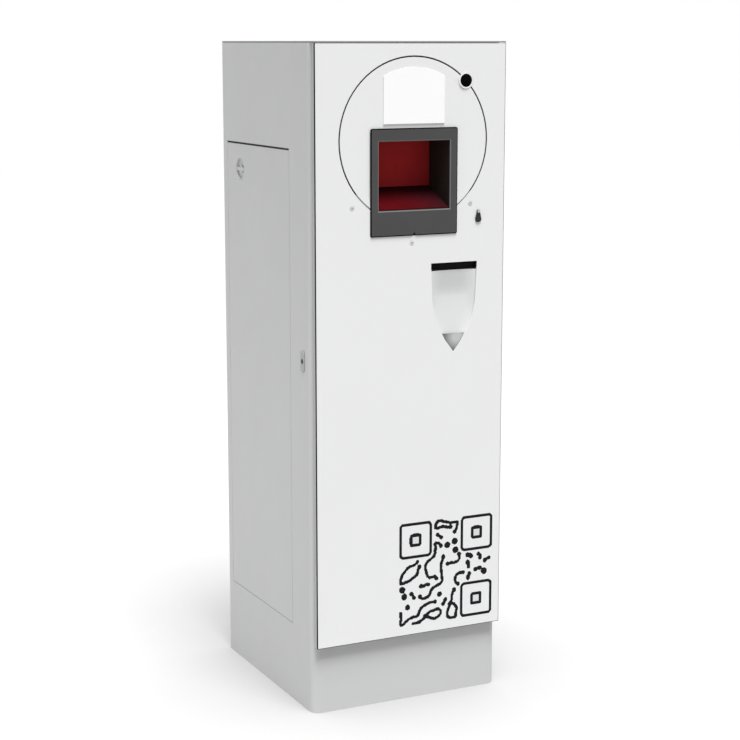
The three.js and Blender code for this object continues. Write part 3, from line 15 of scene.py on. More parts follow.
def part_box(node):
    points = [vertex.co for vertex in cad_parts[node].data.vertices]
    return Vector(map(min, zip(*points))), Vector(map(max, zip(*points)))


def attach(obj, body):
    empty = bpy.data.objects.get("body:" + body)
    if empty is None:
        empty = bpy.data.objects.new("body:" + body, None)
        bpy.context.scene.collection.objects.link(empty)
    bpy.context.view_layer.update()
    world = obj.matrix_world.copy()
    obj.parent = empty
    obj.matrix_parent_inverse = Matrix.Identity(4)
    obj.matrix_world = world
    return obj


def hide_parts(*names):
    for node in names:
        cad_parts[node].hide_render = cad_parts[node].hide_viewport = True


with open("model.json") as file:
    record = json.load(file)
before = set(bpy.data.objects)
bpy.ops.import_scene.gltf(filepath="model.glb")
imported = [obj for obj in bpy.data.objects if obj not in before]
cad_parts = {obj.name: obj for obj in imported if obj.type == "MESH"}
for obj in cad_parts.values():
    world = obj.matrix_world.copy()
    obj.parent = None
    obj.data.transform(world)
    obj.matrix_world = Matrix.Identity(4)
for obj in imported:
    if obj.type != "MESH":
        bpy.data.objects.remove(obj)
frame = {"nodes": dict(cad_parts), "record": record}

log = logging.getLogger("ticket_machine")

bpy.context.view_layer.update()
BODY_OF = {
    node: body for body, nodes in frame["record"]["behaviour"]["bodies"].items() for node in nodes
}

Colour = tuple[float, float, float]
Place = tuple[float, float, float]
Socket = bpy.types.NodeSocket
Shape = bmesh.types.BMesh

WHITE: Colour = (1.0, 1.0, 1.0)
NEAR = 1e-5  # places closer than this count as one
WELD = 1e-6  # corners closer than this are joined
HAIR = 0.00002  # the gap between pieces that lie on each other


class Grain(Enum):
    """The way a drawn or brushed metal's lines run."""

    ALONG_X = (0.03, 1.0, 1.0)
    ALONG_Z = (1.0, 1.0, 0.03)


class Edge(Enum):
    """How far an edge is rounded, and the faces across the rounding."""

    GROUND = (0.0002, 2)
    SHEARED = (0.0003, 2)
    DEBURRED = (0.0004, 2)
    TURNED = (0.0004, 3)
    PUNCHED = (0.0005, 2)
    POLISHED = (0.0005, 3)
    BROKEN = (0.0006, 2)
    COATED = (0.0006, 3)
    ROLLED = (0.0007, 3)
    PRESSED = (0.0008, 2)
    MOULDED = (0.0008, 3)
    FOLDED = (0.0009, 3)
    BENT = (0.0010, 3)


# Finishes


def set_inputs(node: bpy.types.Node, values: dict[str, float | tuple]) -> None:
    """Sets plain values on a node's sockets, named with underscores for spaces."""
    for name, value in values.items():
        node.inputs[name.replace("_", " ")].default_value = value


class NodeWork:
    """A node tree under construction."""

    def __init__(self, tree: bpy.types.NodeTree) -> None:
        """Takes up a tree to build in."""
        self.tree = tree

    def link(self, source: Socket, target: Socket) -> None:
        """Joins two sockets."""
        self.tree.links.new(source, target)

    def feed(self, value: Socket | Colour | float, target: Socket) -> None:
        """Gives a socket a plain value, or another socket's output.

        Args:
            value: the value or the output.
            target: the socket.
        """
        if isinstance(value, Socket):
            self.link(value, target)
        else:
            target.default_value = (*value, 1.0) if isinstance(value, tuple) else value

    def node(self, kind: str, **values: float | tuple) -> bpy.types.Node:
        """Adds a node.

        Args:
            kind: its type, without the leading ShaderNode.
            **values: plain values for its sockets, named as in set_inputs.

        Returns:
            The node.
        """
        node = self.tree.nodes.new(f"ShaderNode{kind}")
        set_inputs(node, values)
        return node

    def blend(self, share: Socket | float, first: Socket, second: Socket) -> Socket:
        """Mixes two surfaces.

        Args:
            share: how much of the second shows.
            first: the output of a surface.
            second: the same.

        Returns:
            The mixed surface.
        """
        node = self.node("MixShader")
        for target, value in zip(node.inputs, (share, first, second)):
            self.feed(value, target)
        return node.outputs[0]


class Shader(NodeWork):
    """A material under construction, with short ways to add its procedural detail."""

    def __init__(self, name: str) -> None:
        """Starts an empty material.

        Args:
            name: the material's name.
        """
        self.material = bpy.data.materials.new(name)
        self.material.use_nodes = True
        super().__init__(self.material.node_tree)
        self.surface = self.tree.nodes["Principled BSDF"]
        self.place = self.node("TexCoord").outputs["Object"]

    def constants(self, **values: float | tuple) -> None:
        """Sets plain values on the surface's own sockets."""
        set_inputs(self.surface, values)

    def mapped(self, **values: Place) -> Socket:
        """Moves or stretches the object's coordinates.

        Args:
            **values: the mapping's Location or Scale.

        Returns:
            The new coordinates.
        """
        mapping = self.node("Mapping", **values)
        self.link(self.place, mapping.inputs["Vector"])
        return mapping.outputs["Vector"]

    def noise(
        self,
        scale: float,
        detail: float = 2.0,
        roughness: float = 0.5,
        vector: Socket | None = None,
    ) -> Socket:
        """Adds a noise texture.

        Args:
            scale: how many features stand in a metre.
            detail: its octaves.
            roughness: how strong the finer octaves are.
            vector: the coordinates that it reads, or None for the object's own.

        Returns:
            The noise's value, from 0 to 1.
        """
        node = self.node("TexNoise", Scale=scale, Detail=detail, Roughness=roughness)
        self.link(vector or self.place, node.inputs["Vector"])
        return node.outputs["Fac"]

    def cells(self, scale: float) -> Socket:
        """Adds a texture of cells, each in one flat colour.

        Args:
            scale: how many cells stand in a metre.

        Returns:
            The cells' colours.
        """
        node = self.node("TexVoronoi", Scale=scale)
        self.link(self.place, node.inputs["Vector"])
        return node.outputs["Color"]

    def levels(
        self, value: Socket, low: float, high: float, source: tuple[float, float] = (0.3, 0.7)
    ) -> Socket:
        """Spreads a value over a new range.

        Args:
            value: the value to spread.
            low: the result at the start of the source range.
            high: the result at its end.
            source: the range read, clamped.

        Returns:
            The new value.
        """
        start, end = source
        node = self.node("MapRange", From_Min=start, From_Max=end, To_Min=low, To_Max=high)
        self.link(value, node.inputs["Value"])
        return node.outputs["Result"]

    def tones(self, value: Socket, *stops: tuple[float, Colour]) -> Socket:
        """Turns a value into a colour through a ramp.

        Args:
            value: the value, from 0 to 1.
            *stops: two or more places on the ramp, each with its colour.

        Returns:
            The colour.
        """
        node = self.node("ValToRGB")
        ramp = node.color_ramp
        for element, (place, colour) in zip(ramp.elements, (stops[0], stops[-1])):
            element.position = place
            element.color = (*colour, 1.0)
        for place, colour in stops[1:-1]:
            ramp.elements.new(place).color = (*colour, 1.0)
        self.link(value, node.inputs["Fac"])
        return node.outputs["Color"]

    def mix(
        self, share: Socket | float, first: Socket | Colour, second: Socket | Colour
    ) -> Socket:
        """Blends two colours.

        Args:
            share: how much of the second shows.
            first: a colour, or the output that gives one.
            second: the same.

        Returns:
            The blend.
        """
        node = self.node("Mix")
        node.data_type = "RGBA"
        for place, value in ((0, share), (6, first), (7, second)):
            self.feed(value, node.inputs[place])
        return node.outputs[2]

    def colour(self, value: Socket) -> None:
        """Gives the surface its colour."""
        self.link(value, self.surface.inputs["Base Color"])

    def roughness(self, value: Socket) -> None:
        """Gives the surface its roughness."""
        self.link(value, self.surface.inputs["Roughness"])

    def relief(self, *layers: tuple[Socket, float, float]) -> None:
        """Adds bump layers, each one on top of the last.

        Args:
            *layers: the height, the strength from 0 to 1 and the depth in metres of each.
        """
        below = None
        for height, strength, depth in layers:
            node = self.node("Bump", Strength=strength, Distance=depth)
            self.link(height, node.inputs["Height"])
            if below is not None:
                self.link(below, node.inputs["Normal"])
            below = node.outputs["Normal"]
        self.link(below, self.surface.inputs["Normal"])


def shaded(colour: Colour, factor: float) -> Colour:
    """Returns a colour made lighter or darker by a factor."""
    return tuple(min(1.0, channel * factor) for channel in colour)


@dataclass(frozen=True)
class Finish:
    """What every finish has: a name and a colour, and one material made once."""

    name: str
    colour: Colour
    rough: float = 0.5

    def material(self) -> bpy.types.Material:
        """Makes this finish's material the first time it is asked for.

        Returns:
            The material.
        """
        label = f"{self.name}_finish"
        made = bpy.data.materials.get(label)
        if made is None:
            shader = Shader(label)
            self.dress(shader)
            made = shader.material
        return made

    def dress(self, shader: Shader) -> None:
        """Builds the finish on an empty shader. Each kind has its own."""
        raise NotImplementedError


@dataclass(frozen=True)
class PowderCoat(Finish):
    """Baked powder paint: a fine orange peel, slow drifts of tone and faint handling haze."""

    peel: float = 0.00003
    drift: float = 0.018

    def dress(self, shader: Shader) -> None:
        """Builds the paint.

        Args:
            shader: the empty shader.
        """
        slow = shader.noise(2.6, 3.0, 0.55)
        dark = shaded(self.colour, 1 - self.drift)
        light = shaded(self.colour, 1 + self.drift * 0.6)
        base = shader.tones(slow, (0.3, dark), (0.5, self.colour), (0.7, light))
        fleck = shader.levels(shader.noise(1400.0, 1.0), 0.0, 0.10, (0.62, 0.8))
        shader.colour(shader.mix(fleck, base, shaded(self.colour, 0.9)))
        haze = shader.noise(14.0, 4.0, 0.6)
        shader.roughness(shader.levels(haze, self.rough - 0.05, self.rough + 0.07))
        shader.relief(
            (shader.noise(260.0, 2.0, 0.5), 0.35, self.peel),
            (shader.noise(1500.0, 1.0, 0.5), 0.3, self.peel * 0.3),
        )
        shader.constants(Coat_Weight=0.06, Coat_Roughness=0.35)


@dataclass(frozen=True)
class Moulding(Finish):
    """Moulded plastic: a leathery spark-eroded grain and slight flow marks."""

    grain: float = 0.00006
    pitch: float = 1100.0
    shine: float = 0.5
    flow: float = 0.07

    def dress(self, shader: Shader) -> None:
        """Builds the plastic.

        Args:
            shader: the empty shader.
        """
        marks = shader.noise(9.0, 3.0, 0.6)
        dark, light = shaded(self.colour, 1 - self.flow), shaded(self.colour, 1 + self.flow)
        base = shader.tones(marks, (0.28, dark), (0.52, self.colour), (0.75, light))
        share = min(0.22, self.flow * 3)
        spots = shader.noise(self.pitch * 0.6, 2.0, 0.6)
        speckle = shader.levels(spots, 0.0, share, (0.5, 0.75))
        shader.colour(shader.mix(speckle, base, shaded(self.colour, 1.18)))
        wear = shader.noise(30.0, 3.0)
        shader.roughness(shader.levels(wear, self.rough - 0.06, self.rough + 0.08))
        shader.relief(
            (shader.noise(self.pitch, 3.0, 0.65), 0.5, self.grain),
            (shader.noise(self.pitch * 0.3, 2.0, 0.5), 0.25, self.grain),
        )
        shader.constants(Coat_Roughness=0.08, Specular_IOR_Level=self.shine)


@dataclass(frozen=True)
class SheetMetal(Finish):
    """Bare or plated metal: drawn lines one way, and a soft spangle where it is galvanised."""

    grain: Grain = Grain.ALONG_X
    spangle: float = 0.0

    def dress(self, shader: Shader) -> None:
        """Builds the metal.

        Args:
            shader: the empty shader.
        """
        lines = shader.noise(1300.0, 3.0, 0.6, shader.mapped(Scale=self.grain.value))
        dark, light = shaded(self.colour, 0.88), shaded(self.colour, 1.08)
        base = shader.tones(lines, (0.3, dark), (0.55, self.colour), (0.75, light))
        if self.spangle > 0:
            dull, bright = shaded(self.colour, 0.82), shaded(self.colour, 1.12)
            flakes = shader.tones(shader.cells(95.0), (0.0, dull), (1.0, bright))
            base = shader.mix(self.spangle, base, flakes)
        stain = shader.levels(shader.noise(7.0, 4.0, 0.65), 0.0, 0.28, (0.52, 0.78))
        shader.colour(shader.mix(stain, base, shaded(self.colour, 0.74)))
        shader.roughness(shader.levels(lines, self.rough - 0.07, self.rough + 0.12))
        shader.relief((lines, 0.3, 0.00002))
        shader.constants(Metallic=1.0)


@dataclass(frozen=True)
class SoftRubber(Finish):
    """Matt rubber with a dusty bloom."""

    def dress(self, shader: Shader) -> None:
        """Builds the rubber.

        Args:
            shader: the empty shader.
        """
        bloom = shader.levels(shader.noise(22.0, 5.0, 0.7), 0.0, 0.55, (0.45, 0.8))
        shader.colour(shader.mix(bloom, self.colour, shaded(self.colour, 2.2)))
        wear = shader.noise(60.0, 3.0)
        shader.roughness(shader.levels(wear, self.rough - 0.08, self.rough + 0.06))
        shader.relief((shader.noise(900.0, 3.0, 0.6), 0.45, 0.00005))
        shader.constants(Specular_IOR_Level=0.3)


@dataclass(frozen=True)
class RollPaper(Finish):
    """Uncoated paper with its fibres, and fine lines where a roll's turns meet."""

    turns: float = 0.0
    centre: tuple[float, float] = (0.0, 0.0)

    def dress(self, shader: Shader) -> None:
        """Builds the paper.

        Args:
            shader: the empty shader.
        """
        fibre = shader.noise(700.0, 4.0, 0.7, shader.mapped(Scale=(1.0, 0.35, 1.0)))
        dark, light = shaded(self.colour, 0.93), shaded(self.colour, 1.04)
        base = shader.tones(fibre, (0.25, dark), (0.5, self.colour), (0.8, light))
        height = fibre
        if self.turns > 0:
            rings = shader.node("TexWave", Scale=self.turns, Distortion=0.4, Detail=1.0)
            rings.wave_type = "RINGS"
            rings.rings_direction = "X"
            middle = shader.mapped(Location=(0.0, -self.centre[0], -self.centre[1]))
            shader.link(middle, rings.inputs["Vector"])
            height = rings.outputs["Fac"]
            lines = shader.levels(height, 0.18, 0.0, (0.0, 0.5))
            base = shader.mix(lines, base, shaded(self.colour, 0.6))
        shader.colour(base)
        shader.roughness(shader.levels(shader.noise(40.0), self.rough - 0.04, self.rough + 0.05))
        shader.relief((height, 0.25, 0.00004))
        shader.constants(Specular_IOR_Level=0.25)


@dataclass(frozen=True)
class Acrylic(Finish):
    """Polished acrylic, with dust and fine wipe marks; given a middle point, it is painted with
    light and shade: its colour round that point, fading to the edge colour farther off.
    """

    # edge, middle and reach paint light and shade: the painted light is centred on middle and fades
    # to the edge colour, a painted shade, within reach.
    edge: Colour = (0.0, 0.0, 0.0)
    middle: Vector | None = None
    reach: float = 0.06
    gloss: float = 0.5
    dust: float = 0.05

    def dress(self, shader: Shader) -> None:
        """Builds the acrylic.

        Args:
            shader: the empty shader.
        """
        cloud = shader.noise(11.0, 3.0, 0.6)
        dark, light = shaded(self.colour, 0.86), shaded(self.colour, 1.12)
        base = shader.tones(cloud, (0.3, dark), (0.7, light))
        # Painted light and shade: the colour round the middle fades to the edge colour with
        # distance from it.
        if self.middle is not None:
            away = shader.node("VectorMath")
            away.operation = "DISTANCE"
            away.inputs[1].default_value = self.middle
            shader.link(shader.place, away.inputs[0])
            painted_falloff = shader.levels(away.outputs["Value"], 0.0, 1.0, (self.reach * 0.3, self.reach))
            base = shader.mix(painted_falloff, base, self.edge)
        dust = shader.levels(shader.noise(420.0, 3.0, 0.7), 0.0, self.dust, (0.6, 0.8))
        shader.colour(shader.mix(dust, base, (0.5, 0.5, 0.5)))
        wipe = shader.noise(60.0, 4.0, 0.6, shader.mapped(Scale=(0.15, 1.0, 1.0)))
        shader.roughness(shader.levels(wipe, self.rough, self.rough + 0.10))
        shader.relief((shader.noise(24.0, 2.0), 0.08, 0.0002))
        shine = 0.02 + 0.9 * self.gloss
        shader.constants(Coat_Weight=self.gloss, Coat_Roughness=0.04, Specular_IOR_Level=shine)


@dataclass(frozen=True)
class PrintedInk(Finish):
    """Screen ink on paint, with pinholes and a slightly uneven black."""

    def dress(self, shader: Shader) -> None:
        """Builds the ink.

        Args:
            shader: the empty shader.
        """
        body = shader.noise(180.0, 4.0, 0.7)
        dark, light = shaded(self.colour, 0.8), shaded(self.colour, 1.7)
        base = shader.tones(body, (0.3, dark), (0.72, light))
        pinholes = shader.levels(shader.noise(1600.0, 1.0), 0.0, 0.22, (0.72, 0.82))
        shader.colour(shader.mix(pinholes, base, (0.45, 0.45, 0.46)))
        shader.roughness(shader.levels(body, self.rough - 0.06, self.rough + 0.1))
        shader.relief((shader.noise(500.0, 2.0), 0.2, 0.00002))
        shader.constants(Specular_IOR_Level=0.15)


GREY_PAINT = PowderCoat("grey_paint", (0.536, 0.538, 0.540), 0.46)
# The door's return is the cabinet's grey made darker: painted shade along the door's side.
TRAY_SHADED_PAINT = PowderCoat("door_return_painted_shade", (0.410, 0.413, 0.415), 0.46)
CAP_PAINT = PowderCoat("cap_paint", (0.27, 0.275, 0.28), 0.5)
WHITE_PAINT = PowderCoat("white_paint", (0.776, 0.778, 0.779), 0.36, drift=0.010)
# The hollow's white is the door's white made darker: painted shade inside the recess.
SCOOP_SHADED_WHITE = PowderCoat("scoop_white_painted_shade", (0.665, 0.668, 0.669), 0.4, drift=0.010)
HEADER_WHITE = Moulding(
    "header_white", (0.915, 0.917, 0.916), 0.6, grain=0.00001, shine=0.2, flow=0.002
)
# The header's white made grey: painted shade for the plate's top edge.
HEADER_PAINTED_SHADE = Moulding("header_edge_painted_shade", (0.50, 0.505, 0.51), 0.4, grain=0.00001, flow=0.01)
BEZEL_GREY = Moulding("bezel_grey", (0.062, 0.060, 0.061), 0.6, shine=0.25)
BLACK_PLASTIC = Moulding("black_plastic", (0.013, 0.012, 0.012), 0.45)
COVER_BLACK = Moulding("cover_black", (0.018, 0.018, 0.018), 0.5, shine=0.3)
# Black plastic with a faint red cast painted in: the red window's light on the bay's walls.
BAY_BLACK_RED_CAST = Moulding("bay_black_painted_red_light", (0.021, 0.015, 0.014), 0.65, shine=0.2)
DARK_PLASTIC = Moulding("dark_plastic", (0.055, 0.055, 0.056), 0.5)
CASE_GREY = Moulding("case_grey", (0.42, 0.425, 0.43), 0.5)
ZINC = SheetMetal("zinc_steel", (0.50, 0.51, 0.52), 0.38, Grain.ALONG_Z, spangle=0.55)
CASE_METAL = SheetMetal("case_metal", (0.55, 0.56, 0.57), 0.36, Grain.ALONG_X, spangle=0.25)
BRIGHT_STEEL = SheetMetal("bright_steel", (0.62, 0.63, 0.64), 0.24, Grain.ALONG_Z)
LOCK_BRASS = SheetMetal("lock_brass", (0.52, 0.37, 0.14), 0.3, Grain.ALONG_Z)
LOCK_GREY = PowderCoat("lock_grey", (0.40, 0.403, 0.405), 0.5)
LOCK_STEEL = SheetMetal("lock_steel", (0.12, 0.12, 0.122), 0.45, Grain.ALONG_Z)
SCREW_GREY = PowderCoat("screw_grey", (0.60, 0.603, 0.605), 0.45)
RUBBER = SoftRubber("rubber", (0.016, 0.016, 0.017), 0.82)
CODE_INK = PrintedInk("code_ink", (0.005, 0.005, 0.007), 0.6)
CODE_WASH = PowderCoat("code_wash", (0.66, 0.665, 0.67), 0.5)
LENS_BLACK = Acrylic("camera_dome", (0.002, 0.002, 0.002), 0.3, gloss=0.0, dust=0.006)
SLOT_BLACK = Moulding("slot_black", (0.004, 0.004, 0.004), 0.7, shine=0.1)
# The frame's plastic in two more tones: near black as painted shade on its outer slope and notch,
# and paler as a painted highlight on its inner lip.
BEZEL_PAINTED_SHADE = Moulding("bezel_painted_shade", (0.004, 0.0038, 0.0038), 0.7, shine=0.0)
BEZEL_PAINTED_HIGHLIGHT = Moulding("bezel_painted_highlight", (0.13, 0.13, 0.132), 0.45)


# Shaping


def bevel(bm: Shape, edges: list[bmesh.types.BMEdge], width: float, segments: int) -> None:
    """Rounds chosen edges.

    Args:
        bm: the shape.
        edges: its edges to round.
        width: how far the rounding reaches from each edge.
        segments: the faces across each rounding.
    """
    bmesh.ops.bevel(
        bm,
        geom=edges,
        offset=width,
        segments=segments,
        profile=0.5,
        affect="EDGES",
        material=-1,
        clamp_overlap=True,
    )


def soften(bm: Shape, width: float, segments: int = 3, sharper_than: float = 30.0) -> None:
    """Rounds the sharp edges of a closed shape.

    Args:
        bm: the shape.
        width: how far the rounding reaches from each edge.
        segments: the faces across each rounding.
        sharper_than: the least turn, in degrees, that counts as an edge.
    """
    limit = math.radians(sharper_than)
    sharp = [edge for edge in bm.edges if edge.is_manifold and edge.calc_face_angle(0.0) > limit]
    bevel(bm, sharp, width, segments)


def thicken(bm: Shape, shift: Place) -> None:
    """Extrudes a sheet into a closed shape.

    Args:
        bm: the sheet.
        shift: how far its other face stands from it.
    """
    raised = bmesh.ops.extrude_face_region(bm, geom=bm.faces[:])
    moved = [item for item in raised["geom"] if isinstance(item, bmesh.types.BMVert)]
    bmesh.ops.translate(bm, verts=moved, vec=shift)
    bmesh.ops.recalc_face_normals(bm, faces=bm.faces)


def slab(low: Vector, high: Vector) -> Shape:
    """Starts a block, ready to be worked.

    Args:
        low: its lowest corner.
        high: its highest.

    Returns:
        The block.
    """
    bm = bmesh.new()
    place = Matrix.Translation((low + high) / 2) @ Matrix.Diagonal((*(high - low), 1.0))
    bmesh.ops.create_cube(bm, size=1.0, matrix=place)
    return bm


def turned(profile: list[tuple[float, float]], centre: Vector, steps: int) -> Shape:
    """Spins a profile about the line from front to back, into a closed turned shape.

    Args:
        profile: radius and place along the axis of each point, from one pole to the other.
        centre: where the axis passes.
        steps: the facets round it.

    Returns:
        The turned shape.
    """
    bm = bmesh.new()
    along = Vector((0.0, 1.0, 0.0))
    out = Vector((0.0, 0.0, 1.0))
    points = [bm.verts.new(centre + out * radius + along * place) for radius, place in profile]
    chain = [bm.edges.new(pair) for pair in zip(points, points[1:])]
    bmesh.ops.spin(
        bm,
        geom=[*points, *chain],
        cent=centre,
        axis=along,
        angle=math.tau,
        steps=steps,
        use_merge=True,
        use_duplicate=False,
    )
    bmesh.ops.remove_doubles(bm, verts=bm.verts, dist=WELD)
    bmesh.ops.recalc_face_normals(bm, faces=bm.faces)
    return bm


def welded_copy(node: str) -> Shape:
    """Copies a CAD node's mesh, welds its triangles and clears the lines across its flat faces.

    Args:
        node: the CAD node.

    Returns:
        The clean copy.
    """
    bm = bmesh.new()
    bm.from_mesh(frame["nodes"][node].data)
    bmesh.ops.remove_doubles(bm, verts=bm.verts, dist=4e-6)
    bmesh.ops.dissolve_limit(bm, angle_limit=math.radians(0.2), verts=bm.verts, edges=bm.edges)
    return bm


def merged(*shapes: Shape) -> Shape:
    """Puts several closed shapes into one, and frees the rest.

    Args:
        *shapes: the shapes, the first of which is kept.

    Returns:
        The first shape with the others in it.
    """
    whole = shapes[0]
    for shape in shapes[1:]:
        passing = bpy.data.meshes.new("passing")
        shape.to_mesh(passing)
        shape.free()
        whole.from_mesh(passing)
        bpy.data.meshes.remove(passing)
    return whole


def make_piece(
    bm: Shape,
    name: str,
    body: str,
    finishes: list[Finish],
    stands_for: tuple[str, ...] = (),
    smooth_below: float = 32.0,
) -> None:
    """Turns a worked shape into a finished piece that rides on its body.

    Args:
        bm: the shape, in its place. It is freed.
        name: the piece's name.
        body: the CAD body that it moves with.
        finishes: the finishes that its faces number.
        stands_for: the CAD nodes that it replaces.
        smooth_below: the turn, in degrees, below which an edge is shaded smooth.
    """
    limit = math.radians(smooth_below)
    for edge in bm.edges:
        edge.smooth = edge.calc_face_angle(math.pi) < limit
    for face in bm.faces:
        face.smooth = True
    mesh = bpy.data.meshes.new(name)
    bm.to_mesh(mesh)
    bm.free()
    for finish in finishes:
        mesh.materials.append(finish.material())
    piece = bpy.data.objects.new(name, mesh)
    bpy.context.scene.collection.objects.link(piece)
    even = piece.modifiers.new("even_shading", "WEIGHTED_NORMAL")
    even.keep_sharp = True
    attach(piece, body)
    if stands_for:
        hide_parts(*stands_for)
    log.info("made %s, riding on %s", name, body)


def refit(
    bm: Shape, name: str, node: str, finishes: list[Finish], smooth_below: float = 32.0
) -> None:
    """Makes a finished piece that stands for one CAD node and rides on its body."""
    make_piece(bm, name, BODY_OF[node], finishes, (node,), smooth_below)


def carry(node: str, finish: Finish, edge: Edge = Edge.DEBURRED) -> None:
    """Makes a finished piece from a CAD node whose shape is right, with its edges rounded.

    Args:
        node: the CAD node.
        finish: its finish.
        edge: how its edges are rounded.
    """
    bm = welded_copy(node)
    soften(bm, *edge.value)
    refit(bm, f"{node}_finished", node, [finish])


def seal(bm: Shape, name: str, body: str) -> None:
    """Makes a rubber seal that has no CAD node of its own and rides on `body`."""
    make_piece(bm, name, body, [RUBBER])


def at(node: str, across: float = 0.5, deep: float = 0.5, up: float = 0.5) -> Vector:
    """Returns a place in a CAD node's box, as shares of its size along X, Y and Z."""
    low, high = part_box(node)
    return Vector(a + share * (b - a) for a, b, share in zip(low, high, (across, deep, up)))


# Cabinet


@dataclass
class Cabinet:
    """The steel column: its shell, lid, floor plate, rear vent and gland."""

    shell_edge: Edge = Edge.ROLLED
    lid_edge: Edge = Edge.POLISHED
    grille_edge: Edge = Edge.PUNCHED
    screw_radius: float = 0.0042
    screw_rise: float = 0.0006
    screw_inset: float = 0.009
    screw_steps: int = 24

    def build(self) -> None:
        """Builds the column and its fixed fittings."""
        carry("cabinet_shell", GREY_PAINT, self.shell_edge)
        carry("top_cap", CAP_PAINT, self.lid_edge)
        carry("base_plate", ZINC, Edge.PUNCHED)
        carry("cable_gland", BLACK_PLASTIC, Edge.COATED)
        self.grille()

    def grille(self) -> None:
        """Models the rear grille, set back by the height of its four screws' heads."""
        low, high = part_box("vent_grille")
        plate = welded_copy("vent_grille")
        soften(plate, *self.grille_edge.value)
        half_way = (low.y + high.y) / 2
        for vert in plate.verts:
            if vert.co.y > half_way:
                vert.co.y -= self.screw_rise
        refit(plate, "vent_grille_finished", "vent_grille", [GREY_PAINT])
        heads = []
        for x in (low.x + self.screw_inset, high.x - self.screw_inset):
            for z in (low.z + self.screw_inset, high.z - self.screw_inset):
                seat = Vector((x, high.y - self.screw_rise, z))
                heads.append(self.flat_screw(seat))
        make_piece(merged(*heads), "grille_screws", "cabinet", [BRIGHT_STEEL])

    def flat_screw(self, seat: Vector) -> Shape:
        """Makes the low head of a screw that faces backwards, with a socket in it.

        Args:
            seat: the middle of the head's underside.

        Returns:
            The head.
        """
        profile = (
            (0.0, 0.0),
            (0.94, 0.0),
            (1.0, 0.16),
            (0.9, 0.55),
            (0.68, 0.86),
            (0.46, 1.0),
            (0.42, 0.45),
            (0.0, 0.40),
        )
        points = [(self.screw_radius * out, self.screw_rise * up) for out, up in profile]
        return turned(points, seat, self.screw_steps)


# Side panel and lock


@dataclass
class ServicePanel:
    """The tilting panel in the left wall, with its recessed latch and a black strip along its top
    seam, whose black is painted shade.
    """

    edge: Edge = Edge.BROKEN
    seal_edge: float = 0.0003
    seal_proud: float = 0.0003
    seal_lap: float = 0.0012
    seal_depth: float = 0.0036
    seal_height: float = 0.0019
    seal_end: float = 0.002

    def build(self) -> None:
        """Builds the panel and its latch."""
        carry("service_panel", GREY_PAINT, self.edge)
        carry("panel_latch_cup", GREY_PAINT, Edge.COATED)
        carry("panel_latch_wing", GREY_PAINT, Edge.ROLLED)
        carry("panel_latch_tongue", ZINC)
        self.top_shade_strip()

    def top_shade_strip(self) -> None:
        """Lays a black rubber strip along the panel's top edge, as painted shade in the top seam.
        """
        low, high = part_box("service_panel")
        bm = slab(
            Vector((low.x - self.seal_proud, low.y + self.seal_end, high.z - self.seal_lap)),
            Vector((low.x + self.seal_depth, high.y - self.seal_end, high.z + self.seal_height)),
        )
        soften(bm, self.seal_edge)
        seal(bm, "panel_top_shade_strip", "service_panel")


@dataclass
class SideLock:
    """The door's lock in the left wall, with its bar and guides."""

    edge: Edge = Edge.POLISHED

    def build(self) -> None:
        """Builds the lock."""
        carry("door_lock_housing", LOCK_GREY, self.edge)
        carry("door_lock_plug", LOCK_STEEL, Edge.SHEARED)
        carry("door_lock_cam", ZINC, Edge.SHEARED)
        carry("lock_bar", ZINC)
        for place in ("lower", "upper"):
            carry(f"bar_guide_{place}", BLACK_PLASTIC, Edge.BROKEN)


# Door


@dataclass
class Door:
    """The door's folded tray, its painted front sheet, seal, hinges and catches."""

    front_edge: Edge = Edge.COATED
    fold_edge: Edge = Edge.FOLDED
    edging_setback: float = 0.0003
    edging_depth: float = 0.0038
    edging_proud: float = 0.0005

    def build(self) -> None:
        """Builds the door's body."""
        carry("door_tray", TRAY_SHADED_PAINT, self.fold_edge)
        carry("door_skin", WHITE_PAINT, self.front_edge)
        self.edging()
        carry("door_gasket", RUBBER, Edge.PUNCHED)
        for place in ("lower", "upper"):
            carry(f"hinge_fixed_{place}", ZINC, Edge.SHEARED)
            carry(f"hinge_moving_{place}", ZINC, Edge.SHEARED)
            carry(f"door_keeper_{place}", ZINC)

    def edging(self) -> None:
        """Runs a dark edging round the front sheet: a lip in the fold's step, and a side return."""
        tray_low, tray_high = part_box("door_tray")
        sheet_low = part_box("door_skin")[0]
        front = sheet_low.y + self.edging_setback
        step = sheet_low.x - tray_low.x - HAIR
        lip = self.hoop(tray_low, tray_high, step, front, tray_low.y - HAIR)
        out = Vector((self.edging_proud, 0.0, self.edging_proud))
        side = self.edging_proud - HAIR
        around = self.hoop(tray_low - out, tray_high + out, side, front, front + self.edging_depth)
        seal(merged(lip, around), "sheet_edging", "door")

    @staticmethod
    def hoop(low: Vector, high: Vector, width: float, front: float, back: float) -> Shape:
        """Makes an upright rectangular hoop.

        Args:
            low: the lowest corner of its outside, across and up.
            high: the highest.
            width: how far it reaches inwards.
            front: the place of its front face.
            back: the place of its back.

        Returns:
            The hoop.
        """
        bm = bmesh.new()
        corners = ((low.x, low.z), (high.x, low.z), (high.x, high.z), (low.x, high.z))
        plate = bm.faces.new([bm.verts.new((x, back, z)) for x, z in corners])
        bmesh.ops.inset_region(
            bm, faces=[plate], thickness=width, use_boundary=True, use_even_offset=True
        )
        bmesh.ops.delete(bm, geom=[plate], context="FACES")
        thicken(bm, (0.0, front - back, 0.0))
        return bm


